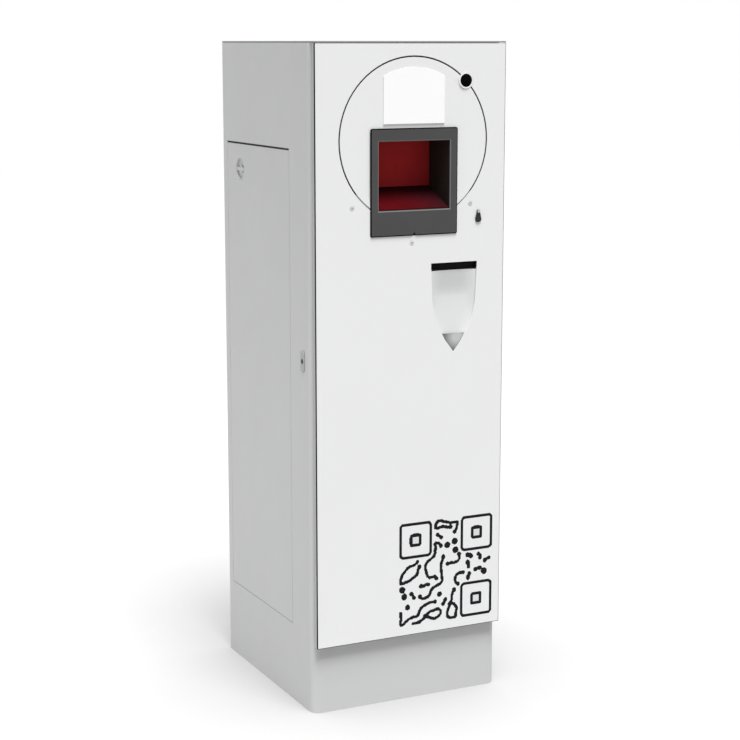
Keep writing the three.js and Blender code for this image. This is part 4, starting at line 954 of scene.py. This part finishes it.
@dataclass
class CodePrint:
    """A square of meaningless printed marks: three framed corners and wandering strokes."""

    cells: float = 42.0
    facets: int = 126
    frame_half: float = 6.6
    frame_corner: float = 1.1
    eye_half: float = 2.1
    eye_corner: float = 0.7
    line: float = 1.36
    seed: int = 31
    starts: int = 420
    stride: float = 0.7
    longest: int = 34
    clearance: float = 2.5
    frame_clearance: float = 2.0
    border: float = 0.5
    start_border: float = 0.6
    reach_shares: tuple[float, float] = (0.50, 0.62)
    bend_kept: float = 0.7
    bend_change: float = 0.28
    dodges: tuple[float, ...] = (0.0, 0.5, -0.5, 1.0, -1.0)
    shortest: int = 4
    end_swell: float = 1.35
    ink_rise: float = 0.00012
    strokes: list[list[tuple[Vector, float]]] = field(default_factory=list)

    def build(self) -> None:
        """Builds the print on the door's front."""
        low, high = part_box("code_print")
        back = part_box("door_skin")[0].y - HAIR
        size = high.x - low.x
        self.wander()
        bm = bmesh.new()
        middle = Vector(((low.x + high.x) / 2, back, (low.z + high.z) / 2))
        upright = Matrix.Translation(middle) @ Matrix.Rotation(math.radians(90), 4, "X")
        bmesh.ops.create_grid(
            bm, x_segments=self.facets, y_segments=self.facets, size=size / 2, matrix=upright
        )
        bare = []
        for face in bm.faces:
            centre = face.calc_center_median()
            place = Vector((centre.x - low.x, high.z - centre.z)) * (self.cells / size)
            ink = self.ink_at(place)
            face.material_index = max(ink, 0)
            if ink < 0:
                bare.append(face)
        bmesh.ops.delete(bm, geom=bare, context="FACES")
        for _ in range(2):
            bmesh.ops.smooth_vert(
                bm, verts=bm.verts, factor=0.5, use_axis_x=True, use_axis_y=False, use_axis_z=True
            )
        thicken(bm, (0.0, -self.ink_rise, 0.0))
        refit(bm, "code_print_marks", "code_print", [CODE_INK, CODE_WASH])

    def corners(self) -> tuple[Vector, Vector, Vector]:
        """Places the three framed corners.

        Returns:
            Their middles, in modules from the top left.
        """
        near = self.frame_half + self.line / 2
        far = self.cells - self.frame_half - self.line / 2
        return Vector((near, near)), Vector((far, near)), Vector((far, far))

    def ink_at(self, place: Vector) -> int:
        """Tells what is printed at a place.

        Args:
            place: the place, in modules from the top left.

        Returns:
            0 for ink, 1 for the grey wash inside an eye, or -1 for bare paint.
        """
        half = self.line / 2
        for corner in self.corners():
            if abs(self.rounded(place - corner, self.frame_half, self.frame_corner)) < half:
                return 0
            eye = self.rounded(place - corner, self.eye_half, self.eye_corner)
            if eye < half:
                return 0 if eye > -half else 1
        for stroke in self.strokes:
            for point, reach in stroke:
                if (place - point).length < reach:
                    return 0
        return -1

    @staticmethod
    def rounded(offset: Vector, half: float, corner: float) -> float:
        """Returns how far a place lies outside a square with rounded corners.

        Args:
            offset: the place, from the square's middle.
            half: half of the square's side.
            corner: the radius of its corners.

        Returns:
            The distance, which is negative inside.
        """
        beyond = Vector((abs(offset.x), abs(offset.y))) - Vector((half - corner, half - corner))
        outside = Vector((max(beyond.x, 0.0), max(beyond.y, 0.0))).length
        return outside + min(max(beyond.x, beyond.y), 0.0) - corner

    def wander(self) -> None:
        """Draws seeded strokes that wander over the bare part and keep clear of each other."""
        chance = random.Random(self.seed)
        first, last = self.start_border, self.cells - self.start_border
        for _ in range(self.starts):
            place = Vector((chance.uniform(first, last), chance.uniform(first, last)))
            heading, bend = chance.uniform(0, math.tau), 0.0
            stroke: list[tuple[Vector, float]] = []
            steps = chance.choice((1, self.shortest, self.longest, self.longest))
            while len(stroke) < steps and self.is_clear(place):
                stroke.append((place, self.line * chance.uniform(*self.reach_shares)))
                change = chance.uniform(-self.bend_change, self.bend_change)
                bend = self.bend_kept * bend + change
                for turn in self.dodges:
                    onward = heading + bend + turn
                    ahead = place + Vector((math.cos(onward), math.sin(onward))) * self.stride
                    if self.is_clear(ahead):
                        break
                heading, place = onward, ahead
            if stroke and (len(stroke) >= self.shortest or steps == 1):
                self.thicken_ends(stroke)
                self.strokes.append(stroke)

    def thicken_ends(self, stroke: list[tuple[Vector, float]]) -> None:
        """Swells a stroke's ends a little, as spread ink does.

        Args:
            stroke: the stroke's points, each with its reach.
        """
        for end in (0, -1):
            point, reach = stroke[end]
            stroke[end] = (point, reach * self.end_swell)

    def is_clear(self, place: Vector) -> bool:
        """Tells whether a place is on the print and clear of frames and earlier strokes.

        Args:
            place: the place, in modules from the top left.

        Returns:
            True where a stroke may pass.
        """
        first, last = self.border, self.cells - self.border
        if not (first < place.x < last and first < place.y < last):
            return False
        for corner in self.corners():
            outside = self.rounded(place - corner, self.frame_half, self.frame_corner)
            if outside < self.frame_clearance:
                return False
        return all(
            (place - point).length > self.clearance
            for stroke in self.strokes
            for point, _ in stroke
        )


# Reader


@dataclass
class Reader:
    """The dished disc, header plate, framed window and the red bay behind it, and the camera."""

    disc_edge: Edge = Edge.POLISHED
    header_round: float = 0.0009
    header_steps: int = 4
    header_shade_drop: float = 0.020
    header_shade_facing: tuple[float, float] = (-0.93, 0.5)
    header_shade_lift: float = 0.1
    bezel_corner: float = 0.0035
    bezel_steps: int = 5
    bezel_front: float = -0.99
    bezel_round: tuple[float, int, float] = (0.0004, 2, 20.0)
    corner_turn: float = 1.0
    rim_share: float = 0.9
    notch_facing: float = -0.4
    highlight_facing: tuple[float, float] = (-0.999, -0.3)
    rim_width: float = 0.0021
    outer_fall: float = 0.0012
    inner_fall: float = 0.0010
    notch_half: float = 0.0042
    notch_rise: float = 0.0058
    inner_margin: float = 0.010
    seal_gap: float = 0.0001
    seal_width: float = 0.0027
    seal_depth: float = 0.0006
    seal_setback: float = 0.0008
    seal_end: float = 1.017
    seal_steps: int = 180
    # The bay's floor and window are painted with the scanner's red light: brightest round a point,
    # fading to a dark red painted shade towards their edges. The floor's red is all painted light;
    # the window is red acrylic with a painted glow.
    floor_red_glow: Colour = (0.072, 0.0026, 0.0045)
    floor_glow_at: float = 0.22
    floor_glow_reach: float = 0.118
    window_red_glow: Colour = (0.50, 0.027, 0.028)
    window_glow_at: float = 0.32
    window_glow_reach: float = 0.21
    red_painted_shade: Colour = (0.034, 0.006, 0.009)

    def build(self) -> None:
        """Builds the reader."""
        carry("reader_disc", WHITE_PAINT, self.disc_edge)
        self.header()
        self.bezel()
        self.ring_seal()
        carry("scan_bay", BAY_BLACK_RED_CAST)
        # Painted light: the bay floor and the window glow red round a point and fade to painted
        # shade.
        bright = at("bay_floor", self.floor_glow_at, 0.0, 0.0)
        painted_reds = (self.floor_red_glow, 0.5, self.red_painted_shade, bright, self.floor_glow_reach)
        carry("bay_floor", Acrylic("red_floor_painted_glow", *painted_reds, gloss=0.0), Edge.SHEARED)
        bright = at("scan_window", self.window_glow_at, 0.0, 1.0)
        painted_reds = (self.window_red_glow, 0.35, self.red_painted_shade, bright, self.window_glow_reach)
        carry("scan_window", Acrylic("red_window_painted_glow", *painted_reds, gloss=0.0), Edge.SHEARED)
        carry("scanner_engine", BLACK_PLASTIC, Edge.MOULDED)
        carry("camera_housing", WHITE_PAINT, Edge.COATED)
        carry("camera_lens", LENS_BLACK, Edge.GROUND)
        for place in ("left", "right", "lower"):
            carry(f"reader_screw_{place}", SCREW_GREY, Edge.SHEARED)

    def header(self) -> None:
        """Models the blank header plate, with a rounded edge whose faces along its top are painted
        grey as shade.
        """
        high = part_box("header_plate")[1]
        bm = welded_copy("header_plate")
        soften(bm, self.header_round, self.header_steps)
        # Painted shade: the rounded faces along the top of the plate take the grey.
        flattest, steepest = self.header_shade_facing
        for face in bm.faces:
            is_shaded_edge = flattest < face.normal.y < steepest
            is_shaded_edge = is_shaded_edge and face.normal.z > self.header_shade_lift
            near_top = face.calc_center_median().z > high.z - self.header_shade_drop
            face.material_index = 1 if is_shaded_edge and near_top else 0
        refit(bm, "header_plate_finished", "header_plate", [HEADER_WHITE, HEADER_PAINTED_SHADE])

    def bezel(self) -> None:
        """Models the window's frame: rounded corners, a dark outer slope painted as shade and a
        pale inner lip painted as a highlight.
        """
        low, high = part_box("window_bezel")
        bm = welded_copy("window_bezel")
        corners = [
            edge
            for edge in bm.edges
            if self.runs_back(edge)
            and self.margin(edge.verts[0].co, low, high) < NEAR
            and edge.calc_face_angle(0.0) > self.corner_turn
        ]
        bevel(bm, corners, self.bezel_corner, self.bezel_steps)
        front = [
            face
            for face in bm.faces
            if face.normal.y < self.bezel_front and face.verts[0].co.y < low.y + NEAR
        ]
        bmesh.ops.inset_region(bm, faces=front, thickness=self.rim_width, use_even_offset=True)
        self.notch(bm, low, high)
        for vert in bm.verts:
            is_front = vert.co.y < low.y + NEAR
            if is_front and self.margin(vert.co, low, high) < NEAR:
                vert.co.y += self.outer_fall
            elif is_front and self.is_opening(vert):
                vert.co.y += self.inner_fall
        bm.normal_update()
        flattest, steepest = self.highlight_facing
        # Painted shade on the outer slope and in the notch, and a painted highlight on the inner
        # lip.
        for face in bm.faces:
            margin = self.margin(face.calc_center_median(), low, high)
            in_notch = face.normal.z < self.notch_facing and margin < self.notch_rise
            if margin < self.rim_width * self.rim_share or in_notch:
                face.material_index = 1
            elif margin > self.inner_margin and flattest < face.normal.y < steepest:
                face.material_index = 2
        soften(bm, *self.bezel_round)
        refit(bm, "window_frame", "window_bezel", [BEZEL_GREY, BEZEL_PAINTED_SHADE, BEZEL_PAINTED_HIGHLIGHT])

    def notch(self, bm: Shape, low: Vector, high: Vector) -> None:
        """Cuts a small sloping drain notch into the middle of the frame's lower edge.

        Args:
            bm: the frame.
            low: its lowest corner.
            high: its highest.
        """
        middle = (low.x + high.x) / 2
        for x in (middle - self.notch_half, middle, middle + self.notch_half):
            geom = [*bm.verts, *bm.edges, *bm.faces]
            bmesh.ops.bisect_plane(
                bm, geom=geom, dist=WELD, plane_co=(x, 0.0, 0.0), plane_no=(1.0, 0.0, 0.0)
            )
        for vert in bm.verts:
            if abs(vert.co.x - middle) < NEAR and vert.co.y < low.y + NEAR:
                if vert.co.z < low.z + self.rim_width * 1.5:
                    vert.co.z += self.notch_rise

    @staticmethod
    def margin(place: Vector, low: Vector, high: Vector) -> float:
        """Returns how far a place lies inside the outline between two corners."""
        return min(place.x - low.x, high.x - place.x, place.z - low.z, high.z - place.z)

    @staticmethod
    def is_opening(vert: bmesh.types.BMVert) -> bool:
        """Tells whether a front corner of the frame stands on its opening's edge."""
        return any(abs(face.normal.y) < 0.2 for face in vert.link_faces)

    @staticmethod
    def runs_back(edge: bmesh.types.BMEdge) -> bool:
        """Tells whether an edge runs straight from front to back."""
        way = edge.verts[0].co - edge.verts[1].co
        return abs(way.x) < NEAR and abs(way.z) < NEAR

    def ring_seal(self) -> None:
        """Lays a dark seal in the groove round the disc, from side to side of the frame."""
        low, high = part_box("reader_disc")
        disc_radius = (high.x - low.x) / 2
        middle = Vector(((low.x + high.x) / 2, 0.0, high.z - disc_radius))
        radius = disc_radius + self.seal_gap
        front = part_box("door_skin")[0].y + self.seal_setback
        start = math.asin((self.seal_end - middle.z) / radius)
        bm = bmesh.new()
        right = Vector((math.cos(start), 0.0, math.sin(start)))
        outer, back = radius + self.seal_width, front + self.seal_depth
        section = bm.faces.new(
            [
                bm.verts.new(Vector((middle.x, y, middle.z)) + right * reach)
                for reach, y in ((radius, front), (outer, front), (outer, back), (radius, back))
            ]
        )
        bmesh.ops.spin(
            bm,
            geom=[section],
            cent=middle,
            axis=(0.0, -1.0, 0.0),
            angle=math.pi - 2 * start,
            steps=self.seal_steps,
            use_merge=False,
            use_duplicate=False,
        )
        bmesh.ops.recalc_face_normals(bm, faces=bm.faces)
        seal(bm, "ring_seal", "door")


# Key switch, ticket outlet and printer


@dataclass
class KeySwitch:
    """The key switch and the drop-shaped cover that hangs over it."""

    body_edge: Edge = Edge.TURNED
    cover_edge: Edge = Edge.POLISHED

    def build(self) -> None:
        """Builds the key switch."""
        carry("key_switch_body", BRIGHT_STEEL, self.body_edge)
        carry("key_switch_plug", LOCK_BRASS, Edge.SHEARED)
        carry("keyhole_cover", COVER_BLACK, self.cover_edge)
        carry("cover_rivet", BRIGHT_STEEL, self.body_edge)


@dataclass
class TicketOutlet:
    """The slot, its flap and the smooth hollow below it that fingers reach into."""

    rim: float = 0.0026
    top_depth: float = 0.0085
    belly_depth: float = 0.0142
    tip_depth: float = 0.0042
    shoulder_drop: float = 0.066
    overlap: float = 0.0034
    taper: float = 0.003
    side_curve: tuple[float, float] = (1.72, 0.92)
    least_half: float = 0.0005
    fullness: float = 3.4
    belly: float = 0.32
    run_out: float = 1.25
    # The hollow's top band, this high, is made black: painted shade that lengthens the dark under
    # the slot.
    lip: float = 0.0042
    wall: float = 0.0016
    flange_drop: float = 0.3
    top_band: float = 0.0001
    smooth_below: float = 70.0
    across: int = 48
    down: int = 84
    tip_round: float = 0.007
    tip_steps: int = 8
    tip_cuts: int = 7
    tip_smooth_below: float = 40.0
    point_height: float = 0.0005
    point_turn: float = 0.5
    dish_facing: float = -0.5
    dish_up: float = 0.62
    dish_reach: float = 0.022
    dish_depth: float = 0.0007
    # The tip's grey is painted with light and shade: pale at this point, darkening to the dark tone
    # within the reach.
    painted_light_at: tuple[float, float, float] = (0.66, 0.0, 0.80)
    tip_shade_reach: float = 0.026
    tip_painted_light: Colour = (0.51, 0.513, 0.515)
    tip_painted_shade: Colour = (0.17, 0.175, 0.18)

    def build(self) -> None:
        """Builds the outlet."""
        carry("ticket_mouth", SLOT_BLACK, Edge.PUNCHED)
        carry("slot_flap", SLOT_BLACK, Edge.SHEARED)
        self.liner()
        self.tip()

    def half_width(self, drop: float, length: float, top_half: float) -> float:
        """Returns the hollow's half width at a distance below its top.

        Args:
            drop: the distance below the top.
            length: the hollow's whole length.
            top_half: its half width at the top.

        Returns:
            The half width, which closes to nothing at the tip.
        """
        if drop <= self.shoulder_drop:
            return top_half - self.taper * drop / self.shoulder_drop
        share = (drop - self.shoulder_drop) / (length - self.shoulder_drop)
        bow, close = self.side_curve
        return (top_half - self.taper) * max(0.0, 1 - share**bow) ** close

    def floor_depth(self, share: float) -> float:
        """Returns how deep the hollow is along its middle.

        Args:
            share: the place, from 0 at the top to 1 at the tip.

        Returns:
            The depth behind the door's face: most at the belly, and least at the tip.
        """
        if share < self.belly:
            rise = (1 + math.cos(math.pi * share / self.belly)) / 2
            return self.belly_depth + (self.top_depth - self.belly_depth) * rise
        along = (share - self.belly) / (1 - self.belly)
        return self.belly_depth + (self.tip_depth - self.belly_depth) * along**self.run_out

    def liner(self) -> None:
        """Models the hollow as one smooth bowl, deepest above its middle and shallow at its tip."""
        low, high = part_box("ticket_scoop")
        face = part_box("door_skin")[0].y
        length = high.z - low.z
        middle_x = (low.x + high.x) / 2
        top_half = (high.x - low.x) / 2 - self.overlap
        bm = bmesh.new()
        bmesh.ops.create_grid(bm, x_segments=self.across, y_segments=self.down, size=0.5)
        for vert in bm.verts:
            across, drop = vert.co.x * 2, (0.5 - vert.co.y) * length
            half = self.half_width(drop, length, top_half)
            floor = self.floor_depth(drop / length)
            hollow = max(0.0, 1 - abs(across) ** self.fullness)
            depth = self.rim + (floor - self.rim) * hollow
            side = middle_x + across * max(half, self.least_half)
            vert.co = Vector((side, face + depth, high.z - drop))
        rim = [edge for edge in bm.edges if edge.is_boundary]
        flange = bmesh.ops.extrude_edge_only(bm, edges=rim)
        for item in flange["geom"]:
            if isinstance(item, bmesh.types.BMVert):
                spread = item.co.x + math.copysign(self.overlap, item.co.x - middle_x)
                item.co.x = min(max(spread, low.x), high.x)
                is_top = item.co.z >= high.z - self.top_band
                lower = max(item.co.z - self.overlap * self.flange_drop, low.z)
                item.co.z = high.z if is_top else lower
        bmesh.ops.recalc_face_normals(bm, faces=bm.faces)
        if sum(f.normal.y * f.calc_area() for f in bm.faces) > 0:
            bmesh.ops.reverse_faces(bm, faces=bm.faces)
        bmesh.ops.solidify(bm, geom=bm.faces[:], thickness=self.wall)
        bmesh.ops.remove_doubles(bm, verts=bm.verts, dist=WELD)
        # Painted shade: the top band of the hollow is given the slot's black.
        for face in bm.faces:
            face.material_index = 1 if face.calc_center_median().z > high.z - self.lip else 0
        refit(bm, "scoop_liner", "ticket_scoop", [SCOOP_SHADED_WHITE, SLOT_BLACK], self.smooth_below)

    def tip(self) -> None:
        """Gives the pointed inlay a shallow dished face, and paints light and shade on its grey:
        pale round one point and darker towards its edges.
        """
        bm = welded_copy("scoop_tip")
        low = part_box("scoop_tip")[0]
        point = [
            edge
            for edge in bm.edges
            if all(vert.co.z < low.z + self.point_height for vert in edge.verts)
            and edge.calc_face_angle(0.0) > self.point_turn
        ]
        bevel(bm, point, self.tip_round, self.tip_steps)
        bmesh.ops.triangulate(bm, faces=bm.faces)
        bmesh.ops.subdivide_edges(bm, edges=bm.edges, cuts=self.tip_cuts, use_grid_fill=True)
        dish = at("scoop_tip", up=self.dish_up)
        for vert in bm.verts:
            away = math.hypot(vert.co.x - dish.x, vert.co.z - dish.z) / self.dish_reach
            if vert.normal.y < self.dish_facing and away < 1:
                vert.co.y += self.dish_depth * (1 - away**2)
        # Painted light and shade on the inlay: pale round one point, darker farther off.
        painted_light_point = at("scoop_tip", *self.painted_light_at)
        tip_painted_shading = (self.tip_painted_light, 0.45, self.tip_painted_shade, painted_light_point, self.tip_shade_reach)
        inlay = Acrylic("tip_grey_painted_shade", *tip_painted_shading, gloss=0.0, dust=0.02)
        refit(bm, "scoop_tip_dished", "scoop_tip", [inlay], self.tip_smooth_below)


@dataclass
class Printer:
    """The ticket printer behind the slot, with its roll of paper."""

    cover_edge: Edge = Edge.ROLLED
    paper: Colour = (0.74, 0.727, 0.68)
    roll_turns: float = 150.0

    def build(self) -> None:
        """Builds the printer."""
        carry("printer_chassis", ZINC)
        carry("printer_cover", DARK_PLASTIC, self.cover_edge)
        carry("platen_roller", RUBBER)
        carry("cutter_blade", BRIGHT_STEEL, Edge.GROUND)
        carry("roll_bracket", ZINC, Edge.PUNCHED)
        centre = at("paper_roll")
        roll = RollPaper("roll_paper", self.paper, 0.85, self.roll_turns, (centre.y, centre.z))
        carry("paper_roll", roll, Edge.COATED)


@dataclass
class Electrics:
    """The plate at the back with its rail, breaker, supply, controller and lead, and the fan."""

    case_edge: Edge = Edge.PRESSED

    def build(self) -> None:
        """Builds the electrics."""
        carry("mounting_plate", ZINC, Edge.BROKEN)
        carry("din_rail", ZINC, Edge.SHEARED)
        carry("circuit_breaker", CASE_GREY, Edge.MOULDED)
        carry("breaker_toggle", BLACK_PLASTIC, Edge.POLISHED)
        carry("power_supply", CASE_METAL, self.case_edge)
        carry("controller_box", CASE_METAL, Edge.BENT)
        carry("control_lead", RUBBER, Edge.SHEARED)
        carry("fan_housing", BLACK_PLASTIC, self.case_edge)
        carry("fan_rotor", DARK_PLASTIC)


# Studio


@dataclass(frozen=True)
class SoftBox:
    """A rectangular lamp: where it hangs, what it faces, its size and its watts."""

    name: str
    place: Place
    target: Place
    size: tuple[float, float]
    power: float

    def hang(self) -> None:
        """Hangs the lamp out of the camera's sight."""
        data = bpy.data.lights.new(self.name, "AREA")
        data.shape = "RECTANGLE"
        data.size, data.size_y = self.size
        data.energy = self.power
        lamp = bpy.data.objects.new(self.name, data)
        lamp.location = self.place
        lamp.rotation_euler = facing(Vector(self.target) - Vector(self.place))
        lamp.visible_camera = False
        lamp.visible_glossy = False
        bpy.context.scene.collection.objects.link(lamp)


def facing(way: Vector) -> Euler:
    """Returns the turn that points a lamp along `way`."""
    return way.to_track_quat("-Z", "Y").to_euler()


@dataclass
class Studio:
    """The pale floor, the soft lamps and the camera."""

    camera_place: Place = (-1.566, -3.263, 1.299)
    camera_tilt: float = 79.58
    camera_turn: float = -26.05
    lens: float = 86.9
    sensor: float = 36.0
    floor_half: float = 14.0
    floor_drop: float = 0.0002
    bounce_tone: Colour = (0.42, 0.42, 0.42)
    floor_tone: Colour = (0.665, 0.665, 0.665)
    # Painted shade on the floor near the machine, read from ambient occlusion: these tones and this
    # reach set how dark it gets and how far it spreads.
    contact_shade_tone: Colour = (0.43, 0.43, 0.43)
    contact_shade_glow: Colour = (0.70, 0.70, 0.70)
    contact_shade_reach: float = 0.45
    contact_shade_start: float = 0.35
    floor_glow: float = 0.5
    sky: float = 0.42
    key: float = 4.1
    key_spread: float = 26.0
    key_way: Place = (0.022, 0.38, -0.923)
    fills: tuple[SoftBox, ...] = (
        SoftBox("left_lamp", (-1.9, 0.1, 0.22), (-0.2, 0.0, 0.20), (1.8, 0.36), 10.0),
        SoftBox("right_lamp", (2.9, 0.2, 0.6), (0.2, 0.0, 0.6), (1.8, 1.1), 15.0),
        SoftBox("rear_lamp", (0.0, 3.2, 0.9), (0.0, 0.2, 0.6), (1.8, 1.7), 15.0),
    )

    def build(self) -> None:
        """Sets up everything round the machine."""
        self.floor()
        self.light()
        self.camera()

    def floor(self) -> None:
        """Lays the floor, which shows white to the camera and keeps the machine's shadow."""
        bm = bmesh.new()
        bmesh.ops.create_grid(bm, x_segments=2, y_segments=2, size=self.floor_half)
        mesh = bpy.data.meshes.new("studio_floor")
        bm.to_mesh(mesh)
        bm.free()
        floor = bpy.data.objects.new("studio_floor", mesh)
        floor.location.z = -self.floor_drop
        bpy.context.scene.collection.objects.link(floor)
        mesh.materials.append(self.floor_paint())

    def floor_paint(self) -> bpy.types.Material:
        """Mixes the floor's paint: plain and pale, white to the camera away from shadow, and with
        shade painted in near the machine from an ambient occlusion reading.

        Returns:
            The paint.
        """
        paint = Shader("floor_paint")
        tone = (*self.bounce_tone, 1.0)
        paint.constants(Base_Color=tone, Roughness=0.9, Specular_IOR_Level=0.0)
        contact_shade = paint.node("AmbientOcclusion", Distance=self.contact_shade_reach).outputs["AO"]
        surfaces = []
        for kind, near, far in (
            ("BsdfDiffuse", self.contact_shade_tone, self.floor_tone),
            ("Emission", self.contact_shade_glow, WHITE),
        ):
            surface = paint.node(kind)
            tones = paint.tones(contact_shade, (self.contact_shade_start, near), (1.0, far))
            paint.link(tones, surface.inputs["Color"])
            surfaces.append(surface.outputs[0])
        seen = paint.blend(self.floor_glow, *surfaces)
        is_camera = paint.node("LightPath").outputs["Is Camera Ray"]
        shown = paint.blend(is_camera, paint.surface.outputs[0], seen)
        paint.link(shown, paint.tree.nodes["Material Output"].inputs["Surface"])
        return paint.material

    def light(self) -> None:
        """Lights the machine with an even sky, one broad soft sun and three weak fills."""
        world = bpy.data.worlds.new("studio_sky")
        bpy.context.scene.world = world
        world.use_nodes = True
        sky = NodeWork(world.node_tree)
        plain = sky.tree.nodes["Background"]
        set_inputs(plain, {"Strength": self.sky, "Color": (*WHITE, 1.0)})
        white = sky.node("Background", Strength=1.0, Color=(*WHITE, 1.0))
        path = sky.node("LightPath")
        seen = path.outputs["Is Camera Ray"]
        for ray in ("Is Glossy Ray", "Is Transmission Ray"):
            either = sky.node("Math")
            either.operation = "MAXIMUM"
            sky.link(seen, either.inputs[0])
            sky.link(path.outputs[ray], either.inputs[1])
            seen = either.outputs[0]
        shown = sky.blend(seen, plain.outputs[0], white.outputs[0])
        sky.link(shown, sky.tree.nodes["World Output"].inputs["Surface"])
        sun = bpy.data.lights.new("key_lamp", "SUN")
        sun.energy = self.key
        sun.angle = math.radians(self.key_spread)
        lamp = bpy.data.objects.new("key_lamp", sun)
        lamp.rotation_euler = facing(Vector(self.key_way))
        bpy.context.scene.collection.objects.link(lamp)
        for fill in self.fills:
            fill.hang()

    def camera(self) -> None:
        """Places the camera."""
        data = bpy.data.cameras.new("camera")
        data.lens = self.lens
        data.sensor_width = self.sensor
        camera = bpy.data.objects.new("camera", data)
        camera.location = self.camera_place
        tilt, turn = math.radians(self.camera_tilt), math.radians(self.camera_turn)
        camera.rotation_euler = (tilt, 0.0, turn)
        bpy.context.scene.collection.objects.link(camera)
        bpy.context.scene.camera = camera
        bpy.context.scene.view_settings.view_transform = "Standard"


def main() -> None:
    """Builds the studio and each part of the machine in order."""
    logging.basicConfig(level=logging.INFO, format="%(message)s")
    assemblies = (
        Studio(),
        Cabinet(),
        ServicePanel(),
        SideLock(),
        Door(),
        CodePrint(),
        Reader(),
        KeySwitch(),
        TicketOutlet(),
        Printer(),
        Electrics(),
    )
    for assembly in assemblies:
        log.info("building %s", type(assembly).__name__)
        assembly.build()


if __name__ == "__main__":
    main()
